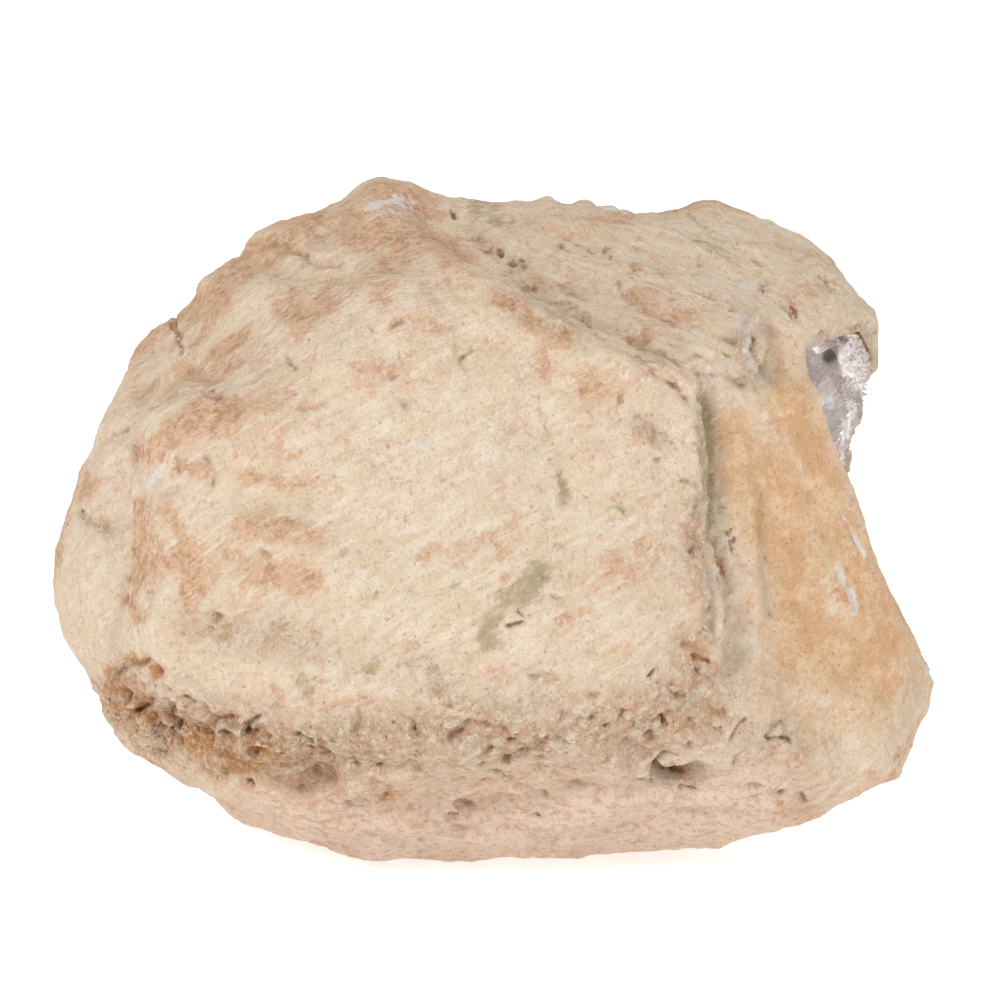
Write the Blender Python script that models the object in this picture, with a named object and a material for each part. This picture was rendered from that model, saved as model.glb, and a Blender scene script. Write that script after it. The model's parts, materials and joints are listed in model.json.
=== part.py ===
"""Geode half: a broken nodule of pale limestone, open at one end, its hollow lined with quartz.

Metres, +Z up. The stone rests on a worn flat at Z = 0, and the origin is the middle of its box
at that height. X runs along its length, with the broken, open end at +X. The smooth skin of the
front looks along -Y.

The stone is described in a frame of its own, the face frame, with three directions: across
(to the right), up, and out (towards whoever looks at the front). That frame leans back by LEAN
about X, and its zero is the middle of the stone.
"""

import math

import bmesh
import bpy
import numpy as np
from mathutils import Matrix, Vector, noise

# Driving dimensions
LEAN = math.radians(12)
BASE_DROP = 0.1182  # from the middle of the stone down to the flat that it rests on
FRONT_DEPTH = 0.112
BACK_DEPTH = 0.116
ROUNDNESS = 2.35  # 2 is an ellipse, more is boxier
EDGE_CRISPNESS = 32.0
GRAZING = 0.05  # a broken face doesn't count for ways that lean away from it by more than this
OUTSIDE = 0.200  # from the middle, a distance that is always outside the stone

# The outline below is followed closely at the rim, and more loosely away from it
OUTLINE_DETAIL = math.radians(2)
OUTLINE_EASE = math.radians(16)
RIM_BAND = 0.30  # how far the rim reaches, as the sine of the angle out of it

# The outline of the front, across and up. Its right side lies past the break, which cuts it.
OUTLINE = [
    (0.1480, 0.0600), (0.1385, 0.0770), (0.1290, 0.0880), (0.1180, 0.1000), (0.1040, 0.1105),
    (0.0920, 0.1195), (0.0780, 0.1205), (0.0620, 0.1180), (0.0400, 0.1205), (0.0200, 0.1195),
    (0.0036, 0.1150), (-0.0126, 0.1150), (-0.0252, 0.1185), (-0.0378, 0.1200), (-0.0504, 0.1140),
    (-0.0620, 0.1150), (-0.0810, 0.1065), (-0.1000, 0.0930), (-0.1116, 0.0795), (-0.1246, 0.0650),
    (-0.1335, 0.0437), (-0.1425, 0.0225), (-0.1535, 0.0018), (-0.1585, -0.0198),
    (-0.1548, -0.0306), (-0.1490, -0.0522), (-0.1382, -0.0731), (-0.1260, -0.0864),
    (-0.1080, -0.0940), (-0.0842, -0.1069), (-0.0522, -0.1192), (-0.0380, -0.1225),
    (0.0036, -0.1212), (0.0396, -0.1205), (0.0576, -0.1170), (0.0756, -0.1165),
    (0.0979, -0.1085), (0.1152, -0.1055), (0.1296, -0.0990), (0.1440, -0.0878),
    (0.1530, -0.0752), (0.1610, -0.0560), (0.1720, -0.0300), (0.1780, 0.0000), (0.1740, 0.0300),
]

# Broken faces that flatten the round stone: name, direction (across, up, out), distance
FACES = [
    ("front", (-0.04, 0.06, 1.00), 0.1010),
    ("fan on the right", (0.56, 0.02, 0.83), 0.1135),
    ("strip beside the break", (0.86, 0.18, 0.48), 0.1370),
    ("plateau on top", (0.17, 0.84, 0.51), 0.1070),
    ("upper left shoulder", (-0.50, 0.62, 0.60), 0.1180),
    ("left cheek", (-0.80, 0.05, 0.60), 0.1360),
    ("underside", (0.02, -0.874, 0.486), 0.1120),
    ("lower left undercut", (-0.60, -0.72, 0.34), 0.1340),
    ("worn flat", (0.0, -math.cos(LEAN), -math.sin(LEAN)), 0.1200),
    ("back", (-0.25, 0.15, -0.95), 0.1070),
    ("back low", (-0.10, -0.72, -0.68), 0.1180),
    ("back left", (-0.80, -0.05, -0.60), 0.1330),
    ("back top", (-0.10, 0.78, -0.62), 0.1110),
    ("back right", (0.45, 0.30, -0.84), 0.1180),
]

# Strokes laid on or cut into the skin: half width, height, then points across and up
STROKES = {
    "valley behind the ridge": (
        0.0120, -0.0085,
        [(-0.020, 0.110), (-0.006, 0.096), (0.014, 0.085), (0.034, 0.073), (0.054, 0.063), (0.072, 0.052)],
    ),
    "ridge along the top of the front": (
        0.0090, 0.0045,
        [(-0.038, 0.112), (-0.026, 0.105), (-0.010, 0.086), (0.016, 0.072), (0.044, 0.060), (0.068, 0.050)],
    ),
    "peak": (0.0150, 0.0040, [(-0.040, 0.119), (-0.034, 0.116)]),
    "hollow left of the peak": (0.0075, -0.0030, [(-0.058, 0.104), (-0.048, 0.102)]),
    "fold down the left": (
        0.0085, -0.0065,
        [(-0.120, 0.066), (-0.124, 0.046), (-0.122, 0.027), (-0.128, 0.004), (-0.131, -0.030)],
    ),
    "swelling beside the fold": (0.0160, 0.0045, [(-0.104, 0.034), (-0.110, 0.000), (-0.108, -0.030)]),
    "shoulder crease": (0.0080, -0.0045, [(-0.110, 0.078), (-0.102, 0.062), (-0.112, 0.048)]),
    "crumbled pocket low on the left": (
        0.0110, -0.0060,
        [(-0.132, -0.054), (-0.116, -0.068), (-0.098, -0.072), (-0.084, -0.086), (-0.060, -0.088)],
    ),
    "cavity in the pocket": (0.0100, -0.0060, [(-0.104, -0.074), (-0.092, -0.080)]),
    "second cavity": (0.0080, -0.0050, [(-0.068, -0.092), (-0.060, -0.090)]),
    "hole low on the right": (0.0070, -0.0050, [(0.064, -0.086), (0.070, -0.088)]),
    "dimple in the middle": (0.0110, -0.0022, [(0.010, 0.034), (0.014, 0.032)]),
    "dimple on the left": (0.0100, -0.0020, [(-0.064, 0.042), (-0.060, 0.044)]),
    "lip above the pocket": (
        0.0060, 0.0030,
        [(-0.128, -0.046), (-0.106, -0.056), (-0.084, -0.068), (-0.056, -0.077), (-0.020, -0.083)],
    ),
    "groove over the underside": (
        0.0070, -0.0040,
        [(-0.030, -0.094), (0.000, -0.098), (0.034, -0.088), (0.070, -0.086), (0.096, -0.080)],
    ),
    "crust edge by the step": (0.0060, 0.0022, [(0.067, 0.044), (0.070, 0.010), (0.073, -0.040)]),
    "edge of the plateau": (0.0090, 0.0030, [(0.084, 0.070), (0.087, 0.062), (0.088, 0.057)]),
    "hollow of the fan": (0.0240, -0.0040, [(0.104, -0.012), (0.116, -0.044), (0.118, -0.066)]),
}

BACK_STROKES = {
    "long ridge behind": (
        0.0160, 0.0060,
        [(-0.120, 0.040), (-0.080, 0.058), (-0.030, 0.066), (0.030, 0.060), (0.090, 0.070)],
    ),
    "hollow under the ridge": (0.0200, -0.0060, [(-0.090, 0.020), (-0.040, 0.034), (0.020, 0.026)]),
    "knob behind": (0.0200, 0.0060, [(-0.070, -0.030), (-0.055, -0.044)]),
    "dent behind": (0.0150, -0.0050, [(0.020, -0.020), (0.034, -0.034)]),
    "ledge low behind": (
        0.0100, 0.0045,
        [(-0.110, -0.060), (-0.060, -0.078), (0.000, -0.072), (0.050, -0.082)],
    ),
    "crease behind": (0.0070, -0.0040, [(0.070, 0.050), (0.060, 0.010), (0.066, -0.040), (0.050, -0.070)]),
    "notch on the crown": (0.0120, -0.0040, [(-0.060, 0.094), (-0.050, 0.082), (-0.056, 0.070)]),
}

# The step where the front skin ends above the fan
STEP_LINE = [(0.086, 0.1020), (0.075, 0.0950), (0.065, 0.0930), (0.054, 0.0930), (0.047, 0.0720),
             (0.000, 0.0735), (-0.042, 0.0790), (-0.058, 0.0800)]
STEP_DEPTH = 0.0085
STEP_RUN = 0.0040
STEP_FADE = 0.0480
STEP_STARTS = 0.0140  # the step grows over this height at its lower end
STEP_ENDS = 0.0260  # and fades over this height at its upper end

# Unevenness of the skin
SWELL_SIZE = 0.0600
SWELL_HEIGHT = 0.0065
FRONT_CALM = 0.60  # the front is this much smoother than the back
CALM_FROM = -0.0200  # how far out the skin starts to be calmer
CALM_RUN = 0.0500
LUMP_SIZE = 0.0260
LUMP_HEIGHT = 0.0052
CRUMB_SIZE = 0.0140
CRUMB_HEIGHT = 0.0030
CRUMBLY_BELOW = -0.0450
CRUMBLY_RUN = 0.0200
WORN_EDGE = 0.0120  # the unevenness is worn away this near to the ground

# The break at the open end: how far across it lies, at each height, at the front and at the back
BREAK_FRONT = [(-0.120, 0.1380), (-0.095, 0.1490), (-0.070, 0.1540), (-0.057, 0.1585), (-0.045, 0.1520),
               (-0.023, 0.1405), (0.000, 0.1300), (0.018, 0.1230), (0.038, 0.1140), (0.057, 0.1070),
               (0.063, 0.1090), (0.067, 0.1200), (0.073, 0.1340), (0.100, 0.1420)]
BREAK_BACK = [(-0.100, 0.0760), (-0.080, 0.0860), (-0.060, 0.0950), (-0.040, 0.1050), (-0.020, 0.1180),
              (0.000, 0.1270), (0.020, 0.1345), (0.030, 0.1365), (0.042, 0.1390), (0.054, 0.1385),
              (0.064, 0.1430), (0.080, 0.1400), (0.100, 0.1420)]
BREAK_TURN = (-0.020, 0.018)  # the break passes from its back line to its front line between these
BREAK_ROUGHNESS = 0.0022
BREAK_GRAIN = 0.0180
# Lines scored on the break: the way across the lines, where they start and end, and their spacing
BREAK_SCORES = [((0, 1, 0), -0.108, 0.100, 0.0105), ((0, 0, 1), -0.080, 0.090, 0.0200)]
ON_THE_BREAK = 1e-6

# The hollow and its lining
WALL_AT_MOUTH = 0.0190
MOUTH_TURN = (0.005, 0.040)  # the mouth's wall grows from the back's to the front's between these depths
WALL_BEHIND = 0.0085
LEAST_WALL = 0.0070
WALL_AT_END = 0.0620
END_FROM = 0.55  # the wall grows to its thickness at the closed end between these shares across
END_TO = -0.75
WALL_BELOW = 0.0080
WALL_WAVES = 0.0060
WALL_WAVE_SIZE = 0.0700
MOUTH_FLARE = 0.0300
MOUTH_WAY = (0.965, -0.037, -0.260)
FLARE_WITHIN = (0.93, 0.98)  # cosines of the angles to the mouth's way between which the flare grows
CLEARANCE = 0.0006
CRUST_LEAST = 0.0030
MOUND_HEIGHT = 0.0070
MOUND_SIZE = 0.0300
CRYSTAL_SEEDS = 152
CRYSTAL_HEIGHT = (0.0040, 0.0090)
CRYSTAL_LEAN = 0.0020
CRYSTAL_SCATTER = 0.035  # of the crystals' places, on a ball of radius 1
CORNERS_CUT = 33  # percent of each edge, where the cells between crystals are cut back

STONE_TRIANGLES = 3400
SEED = 7
SWELLS, LUMPS, BREAK, CRUMBS, WALL = range(1, 6)  # where each kind of unevenness starts in the noise


def smooth(value):
    """0 below 0, 1 above 1, with an easy passage between."""
    held = np.clip(value, 0.0, 1.0)
    return held * held * (3 - 2 * held)


def passed(value, start, end):
    """0 before the start, 1 past the end, with an easy passage between."""
    return smooth((value - start) / (end - start))


def units(vectors):
    """The same directions, at length 1."""
    return vectors / np.linalg.norm(vectors, axis=1, keepdims=True)


def lumps(points, size, seed):
    """Smooth noise about 0, with lumps of one size."""
    shift = Vector((seed * 3.1, seed * 5.7, seed * 1.9))
    return np.array([noise.noise(Vector(point) / size + shift) for point in points])


def outline_radii(angles, spread):
    """How far the outline lies from the middle at these angles, averaged over a spread in radians."""
    corners = np.array(OUTLINE)
    bearings = np.arctan2(corners[:, 1], corners[:, 0])
    order = np.argsort(bearings)
    reaches = np.linalg.norm(corners, axis=1)[order]
    steps = np.linspace(-1.5, 1.5, 9)
    weights = np.exp(-steps * steps)
    total = sum(
        weight * np.interp(angles + step * spread, bearings[order], reaches, period=2 * math.pi)
        for step, weight in zip(steps, weights)
    )
    return total / weights.sum()


def round_stone(ways):
    """The round stone before its faces broke: how far its skin lies along each unit direction."""
    angles = np.arctan2(ways[:, 1], ways[:, 0])
    flat = np.hypot(ways[:, 0], ways[:, 1])
    near_rim = np.exp(-((ways[:, 2] / RIM_BAND) ** 2))
    detailed = outline_radii(angles, OUTLINE_DETAIL)
    softened = outline_radii(angles, OUTLINE_EASE)
    around = softened + (detailed - softened) * near_rim
    depth = np.where(ways[:, 2] > 0, FRONT_DEPTH, BACK_DEPTH)
    powers = (flat / around) ** ROUNDNESS + (np.abs(ways[:, 2]) / depth) ** ROUNDNESS
    return powers ** (-1 / ROUNDNESS)


def broken_stone(ways):
    """The stone with its broken faces, whose meetings are rounded a little."""
    total = round_stone(ways) ** -EDGE_CRISPNESS
    for _name, facing, distance in FACES:
        facing = np.array(facing) / np.linalg.norm(facing)
        towards = ways @ facing
        reached = np.where(towards > GRAZING, np.maximum(towards, GRAZING) / distance, 0.0)
        total += reached ** EDGE_CRISPNESS
    return total ** (-1 / EDGE_CRISPNESS)


def on_skin(across, up, side):
    """The point of the skin at this place, found by halving: side is 1 for the front, -1 for the back."""
    low, high = 0.0, OUTSIDE
    for _ in range(30):
        middle = (low + high) / 2
        point = np.array([[across, up, side * middle]])
        length = np.linalg.norm(point)
        if length < broken_stone(point / length)[0]:
            low = middle
        else:
            high = middle
    return np.array([across, up, side * low])


def distance_to_path(points, path):
    """The distance of each point to a path of straight runs."""
    nearest = np.full(len(points), 1.0)
    for start, end in zip(path, path[1:]):
        run = end - start
        share = np.clip((points - start) @ run / (run @ run), 0, 1)
        nearest = np.minimum(nearest, np.linalg.norm(points - start - share[:, None] * run, axis=1))
    return nearest


def step_down(points):
    """How far the skin lies lower to the right of the step."""
    heights = np.array([up for up, _ in STEP_LINE[::-1]])
    places = np.array([across for _, across in STEP_LINE[::-1]])
    past = points[:, 0] - np.interp(points[:, 1], heights, places)
    along = smooth((points[:, 1] - heights[0]) / STEP_STARTS)
    along = along * smooth((heights[-1] - points[:, 1]) / STEP_ENDS)
    fade = 1 - smooth((past - STEP_RUN) / STEP_FADE)
    return STEP_DEPTH * smooth(past / STEP_RUN) * fade * along * (points[:, 2] > 0)


def skin_reach(ways):
    """How far the finished skin of the stone lies along each unit direction."""
    reach = broken_stone(ways)
    points = ways * reach[:, None]
    for side, strokes in ((1, STROKES), (-1, BACK_STROKES)):
        for half_width, height, places in strokes.values():
            path = [on_skin(across, up, side) for across, up in places]
            reach = reach + height * np.exp(-((distance_to_path(points, path) / half_width) ** 2))
    reach = reach - step_down(points)
    calm = 1 - FRONT_CALM * smooth((points[:, 2] - CALM_FROM) / CALM_RUN)
    crumbly = smooth((CRUMBLY_BELOW - points[:, 1]) / CRUMBLY_RUN)
    uneven = calm * SWELL_HEIGHT * lumps(points, SWELL_SIZE, SWELLS)
    uneven += calm * LUMP_HEIGHT * lumps(points, LUMP_SIZE, LUMPS)
    uneven += crumbly * CRUMB_HEIGHT * lumps(points, CRUMB_SIZE, CRUMBS)
    off_the_ground = BASE_DROP + points[:, 1] * math.cos(LEAN) + points[:, 2] * math.sin(LEAN)
    return reach + uneven * smooth(off_the_ground / WORN_EDGE)


def skin(ways):
    """The finished skin along each unit direction, as points in the face frame."""
    return ways * skin_reach(ways)[:, None]


def hollow(ways, inset):
    """The wall of the hollow along each unit direction, drawn in by an inset."""
    reach = broken_stone(ways)
    points = ways * reach[:, None]
    deep = passed(-ways[:, 0], -END_FROM, -END_TO)
    mouth = WALL_BEHIND + (WALL_AT_MOUTH - WALL_BEHIND) * passed(points[:, 2], *MOUTH_TURN)
    wall = mouth + (WALL_AT_END - mouth) * deep
    wall = wall + WALL_BELOW * smooth(-ways[:, 1])
    wall = wall - MOUTH_FLARE * passed(ways @ np.array(MOUTH_WAY), *FLARE_WITHIN)
    wall = wall + WALL_WAVES * lumps(points, WALL_WAVE_SIZE, WALL)
    reach = np.minimum(reach - wall, skin_reach(ways) - LEAST_WALL)
    return ways * (reach - inset)[:, None]


def break_shift(points):
    """How far across the break lies at each point's height and depth."""
    front_heights, front_places = zip(*BREAK_FRONT)
    back_heights, back_places = zip(*BREAK_BACK)
    front = np.interp(points[:, 1], front_heights, front_places)
    back = np.interp(points[:, 1], back_heights, back_places)
    turn = passed(points[:, 2], *BREAK_TURN)
    flat = points * (0, 1, 1)
    return back + (front - back) * turn + BREAK_ROUGHNESS * lumps(flat, BREAK_GRAIN, BREAK)


def moved_across(mesh, sign):
    """Slides every vertex across by the break's shift: -1 makes the break the plane across = 0."""
    points = vertex_places(mesh)
    points[:, 0] += sign * break_shift(points)
    set_vertex_places(mesh, points)


def vertex_places(mesh):
    """The mesh's vertices as rows."""
    return np.array([vertex.co for vertex in mesh.verts], float)


def set_vertex_places(mesh, points):
    """Moves the mesh's vertices to these rows."""
    for vertex, point in zip(mesh.verts, points):
        vertex.co = point


def ball(subdivisions, shape):
    """A ball of even triangles, with each vertex moved to where the shape puts its direction."""
    mesh = bmesh.new()
    bmesh.ops.create_icosphere(mesh, subdivisions=subdivisions, radius=1.0)
    set_vertex_places(mesh, shape(units(vertex_places(mesh))))
    return mesh


def crust_thickness(points):
    """The lining's depth: rounded mounds of quartz on an even layer."""
    cells = np.array([noise.voronoi(Vector(point) / MOUND_SIZE)[0][0] for point in points])
    return CRUST_LEAST + MOUND_HEIGHT * np.sqrt(np.clip(1 - cells * cells, 0, 1))


def crystal_lining():
    """The inner face of the lining: a ball of cells, each raised to a pointed crystal."""
    draw = np.random.default_rng(SEED)
    count = np.arange(CRYSTAL_SEEDS) + 0.5
    height = 1 - 2 * count / CRYSTAL_SEEDS
    turn = count * math.pi * (3 - math.sqrt(5))
    ring = np.sqrt(1 - height * height)
    seeds = np.column_stack([ring * np.cos(turn), ring * np.sin(turn), height])
    seeds = units(seeds + draw.normal(0, CRYSTAL_SCATTER, seeds.shape))
    mesh = bmesh.new()
    for seed in seeds:
        mesh.verts.new(seed)
    bmesh.ops.convex_hull(mesh, input=mesh.verts)
    bmesh.ops.bevel(mesh, geom=mesh.verts[:], offset=CORNERS_CUT, offset_type="PERCENT", segments=1,
                    profile=0.5, affect="VERTICES", material=-1)
    ways = units(vertex_places(mesh))
    wall = hollow(ways, CLEARANCE)
    set_vertex_places(mesh, wall - ways * crust_thickness(wall)[:, None])
    made = bmesh.ops.poke(mesh, faces=mesh.faces[:], center_mode="MEAN_WEIGHTED")
    for tip in made["verts"]:
        lean = Vector(draw.normal(0, CRYSTAL_LEAN, 3))
        tip.co += lean - tip.co.normalized() * draw.uniform(*CRYSTAL_HEIGHT)
    bmesh.ops.recalc_face_normals(mesh, faces=mesh.faces)
    return mesh


def new_object(name, mesh):
    """A scene object from a bmesh, which is freed."""
    data = bpy.data.meshes.new(name)
    mesh.to_mesh(data)
    mesh.free()
    made = bpy.data.objects.new(name, data)
    bpy.context.scene.collection.objects.link(made)
    return made


def evaluated_mesh(thing):
    """A bmesh of the object with its modifiers, which is then removed."""
    graph = bpy.context.evaluated_depsgraph_get()
    mesh = bmesh.new()
    mesh.from_object(thing, graph)
    bpy.data.objects.remove(thing)
    return mesh


def simplified(mesh, triangles):
    """The same shape with about this many triangles, fewer where it is flat."""
    thing = new_object("draft", mesh)
    decimate = thing.modifiers.new("fewer triangles", "DECIMATE")
    decimate.ratio = triangles / len(thing.data.polygons)
    decimate.use_collapse_triangulate = True
    return evaluated_mesh(thing)


def cut_away(mesh, point, facing):
    """Removes what lies past a plane, and closes the cut with one face."""
    parts = mesh.verts[:] + mesh.edges[:] + mesh.faces[:]
    made = bmesh.ops.bisect_plane(mesh, geom=parts, dist=ON_THE_BREAK, plane_co=point, plane_no=facing,
                                  clear_outer=True)
    rim = [part for part in made["geom_cut"] if isinstance(part, bmesh.types.BMEdge)]
    bmesh.ops.triangle_fill(mesh, edges=rim, use_beauty=True)
    bmesh.ops.recalc_face_normals(mesh, faces=mesh.faces)


def score_break(mesh):
    """Scores the flat break across and along, so that it can follow its true shape when it slides back."""
    for way, low, high, step in BREAK_SCORES:
        facing = Vector(way)
        for distance in np.arange(low, high, step):
            faces = [
                face for face in mesh.faces
                if all(abs(vertex.co.x) < ON_THE_BREAK for vertex in face.verts)
            ]
            edges = {edge for face in faces for edge in face.edges}
            corners = {vertex for face in faces for vertex in face.verts}
            bmesh.ops.bisect_plane(mesh, geom=[*corners, *edges, *faces], dist=1e-5,
                                   plane_co=facing * distance, plane_no=facing)


def opened(outside, inside):
    """The outside broken off at the open end, less the inside, which runs on past the break."""
    moved_across(outside, -1)
    moved_across(inside, -1)
    cut_away(outside, (0, 0, 0), (1, 0, 0))
    body = new_object("body", outside)
    core = new_object("core", inside)
    core.hide_render = True
    core.display_type = "WIRE"
    boolean = body.modifiers.new("hollow", "BOOLEAN")
    boolean.operation = "DIFFERENCE"
    boolean.object = core
    mesh = evaluated_mesh(body)
    bpy.data.objects.remove(core)
    score_break(mesh)
    bmesh.ops.triangulate(mesh, faces=mesh.faces[:])
    moved_across(mesh, 1)
    return mesh


def stood_up(mesh):
    """Turns the face frame upright, with the flat that the stone rests on at Z = 0."""
    upright = Matrix(((1, 0, 0), (0, math.sin(LEAN), -math.cos(LEAN)), (0, math.cos(LEAN), math.sin(LEAN))))
    bmesh.ops.transform(mesh, matrix=upright.to_4x4(), verts=mesh.verts)
    bmesh.ops.translate(mesh, vec=(0, 0, BASE_DROP), verts=mesh.verts)


def finish(name, mesh, colour, roughness, middle):
    """The node itself: centred on the origin, with its own material."""
    bmesh.ops.translate(mesh, vec=-middle, verts=mesh.verts)
    node = new_object(name, mesh)
    material = bpy.data.materials.new(name)
    material.use_nodes = True
    surface = material.node_tree.nodes["Principled BSDF"]
    surface.inputs["Base Color"].default_value = (*colour, 1)
    surface.inputs["Roughness"].default_value = roughness
    surface.inputs["Metallic"].default_value = 0.0
    node.data.materials.append(material)


def main():
    """Builds the stone and its quartz lining."""
    for thing in list(bpy.data.objects):
        bpy.data.objects.remove(thing)

    stone = opened(simplified(ball(6, skin), STONE_TRIANGLES), ball(4, lambda ways: hollow(ways, 0.0)))
    stood_up(stone)
    cut_away(stone, (0, 0, 0), (0, 0, -1))

    crust = opened(ball(4, lambda ways: hollow(ways, CLEARANCE)), crystal_lining())
    stood_up(crust)

    corners = vertex_places(stone)
    middle = (corners.min(axis=0) + corners.max(axis=0)) / 2
    middle = Vector((middle[0], middle[1], 0))
    finish("rock_shell", stone, (0.66, 0.50, 0.34), 0.9, middle)
    finish("quartz_crust", crust, (0.78, 0.75, 0.76), 0.25, middle)
    return middle


if __name__ == "__main__":
    main()
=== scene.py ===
# %% [markdown]
# # A geode half
#
# A geode begins as a hollow in limestone. Quartz grows from the wall of the hollow towards its
# middle, and long after, the nodule weathers out and breaks. This one lies as it was found: the
# weathered skin of its front looks at the camera, and the broken end on the right lets a little of
# the quartz show. The model has two pieces, the rock and the crust of quartz. Both are packed as
# plain solids, and this lesson grows a finished surface on each.

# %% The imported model
import json
import math

import bmesh
import bpy
import numpy as np
from mathutils import Matrix, Vector, noise
from mathutils.bvhtree import BVHTree


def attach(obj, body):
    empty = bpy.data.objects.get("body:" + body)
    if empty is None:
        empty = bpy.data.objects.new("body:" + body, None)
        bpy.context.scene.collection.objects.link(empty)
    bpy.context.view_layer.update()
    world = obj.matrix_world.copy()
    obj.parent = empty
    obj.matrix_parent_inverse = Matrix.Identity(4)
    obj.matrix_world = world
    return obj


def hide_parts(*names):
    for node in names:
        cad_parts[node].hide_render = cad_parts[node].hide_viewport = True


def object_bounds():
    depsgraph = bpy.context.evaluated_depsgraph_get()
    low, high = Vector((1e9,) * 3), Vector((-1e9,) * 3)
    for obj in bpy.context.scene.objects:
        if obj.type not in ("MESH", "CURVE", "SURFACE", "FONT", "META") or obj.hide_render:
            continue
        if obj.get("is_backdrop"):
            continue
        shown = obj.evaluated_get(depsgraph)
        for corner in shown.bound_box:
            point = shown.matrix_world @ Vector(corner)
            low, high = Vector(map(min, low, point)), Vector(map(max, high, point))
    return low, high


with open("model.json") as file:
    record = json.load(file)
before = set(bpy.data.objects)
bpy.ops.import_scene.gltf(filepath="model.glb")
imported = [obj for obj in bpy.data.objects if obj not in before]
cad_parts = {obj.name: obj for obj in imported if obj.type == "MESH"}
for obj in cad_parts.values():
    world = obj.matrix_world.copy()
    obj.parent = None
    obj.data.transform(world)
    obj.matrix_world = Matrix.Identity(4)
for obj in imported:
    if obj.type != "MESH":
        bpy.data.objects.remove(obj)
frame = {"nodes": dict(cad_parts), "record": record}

cad_low, cad_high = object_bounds()
print("the packed stone measures", [round(side * 1000) for side in cad_high - cad_low], "mm")

# %% [markdown]
# The stone leans back a little, and the camera looks at its front squarely, from one metre away. A
# long lens keeps the outline from spreading. The camera comes first, because many marks on the
# skin are placed by where they show in a picture of 1000 by 1000 pixels.

# %% The camera
LEAN = math.radians(12)
SIDE = Vector((1, 0, 0))
UP = Vector((0, math.sin(LEAN), math.cos(LEAN)))
OUT = Vector((0, -math.cos(LEAN), math.sin(LEAN)))
STONE_MIDDLE = Vector((-0.0004, -0.0024, 0.1182))
AIM = STONE_MIDDLE + 0.0036 * SIDE + 0.0090 * UP
DISTANCE = 1.0
LENS = 100.0
SENSOR = 36.0
PICTURE = 1000
PIXEL = DISTANCE * SENSOR / LENS / PICTURE

camera = bpy.data.objects.new("camera", bpy.data.cameras.new("camera"))
camera.data.lens = LENS
camera.data.sensor_width = SENSOR
turn = Matrix((SIDE, UP, OUT)).transposed().to_4x4()
camera.matrix_world = Matrix.Translation(AIM + DISTANCE * OUT) @ turn
bpy.context.scene.collection.objects.link(camera)
bpy.context.scene.camera = camera
print("one pixel is", round(PIXEL * 1000, 2), "mm at the middle of the stone")

# %% [markdown]
# The skin is worked on as rows of numbers, one row for each vertex: where it is, which way it
# faces, and where it shows in the picture. Smooth noise gives every kind of unevenness.

# %% Tools for rows of points


def smooth(value):
    """0 below 0, 1 above 1, with an easy passage between."""
    held = np.clip(value, 0.0, 1.0)
    return held * held * (3 - 2 * held)


def passed(value, start, end):
    """0 before the start, 1 past the end, with an easy passage between."""
    return smooth((value - start) / (end - start))


def grains(points, size, seed):
    """Smooth noise from about -1 to 1, with grains of one size."""
    places = points / size + np.array((3.1, 5.7, 1.9)) * seed
    return np.array([noise.noise(place) for place in places.tolist()]) * 1.6


def cells(points, size, seed):
    """The distance to the middle of the nearest cell, from 0 to about 1."""
    places = points / size + np.array((3.1, 5.7, 1.9)) * seed
    return np.array([noise.voronoi(place)[0][0] for place in places.tolist()])


def blocks(points, size, seed):
    """Crumbs of one size, each with a height of its own, from -1 to 1."""
    places = points / size + np.array((3.1, 5.7, 1.9)) * seed
    middles = [noise.voronoi(place)[1][0] for place in places.tolist()]
    return np.sin(np.array(middles) @ np.array((127.1, 311.7, 74.7)))


def seen_at(points):
    """Where each point shows in the picture: across and down, in pixels."""
    towards = points - np.array(camera.matrix_world.translation)
    away = -(towards @ np.array(OUT))
    scale = LENS / SENSOR * PICTURE / away
    across = PICTURE / 2 + (towards @ np.array(SIDE)) * scale
    down = PICTURE / 2 - (towards @ np.array(UP)) * scale
    return np.column_stack([across, down])


def near_path(places, path, half_width):
    """1 on a path drawn in the picture, fading to 0 over about twice the half width."""
    path = np.array(path, float).reshape(-1, 2)
    reach = 2.5 * half_width
    low = path.min(axis=0) - reach
    high = path.max(axis=0) + reach
    close = np.flatnonzero(np.all((places > low) & (places < high), axis=1))
    nearest = np.full(len(close), 1e6)
    for start, end in zip(path, path[1:]):
        run = end - start
        share = np.clip((places[close] - start) @ run / (run @ run), 0, 1)
        gap = np.linalg.norm(places[close] - start - share[:, None] * run, axis=1)
        nearest = np.minimum(nearest, gap)
    mark = np.zeros(len(places))
    mark[close] = np.exp(-((nearest / half_width) ** 2))
    return mark


def drawn(strokes, places):
    """The strongest of many strokes at each place in the picture, from 0 to 1."""
    mark = np.zeros(len(places))
    for half_width, strength, *path in strokes:
        mark = np.maximum(mark, strength * near_path(places, path, half_width))
    return mark


def inside_box(points, spare=0.0):
    """The points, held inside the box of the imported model."""
    low = np.array(cad_low) + spare * np.array((1, 1, 0))
    return np.clip(points, low, np.array(cad_high) - spare)


# %% Tools for meshes


def welded_copy(node):
    """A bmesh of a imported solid, whose loose triangles are merged."""
    mesh = bmesh.new()
    mesh.from_mesh(frame["nodes"][node].data)
    bmesh.ops.remove_doubles(mesh, verts=mesh.verts, dist=1e-5)
    return mesh


def new_piece(name, mesh):
    """A scene object from a bmesh, which is freed."""
    data = bpy.data.meshes.new(name)
    mesh.to_mesh(data)
    mesh.free()
    piece = bpy.data.objects.new(name, data)
    bpy.context.scene.collection.objects.link(piece)
    return piece


def settle(piece):
    """Applies the piece's modifiers."""
    graph = bpy.context.evaluated_depsgraph_get()
    settled = bpy.data.meshes.new_from_object(piece.evaluated_get(graph))
    piece.modifiers.clear()
    piece.data = settled
    piece.vertex_groups.clear()


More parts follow.
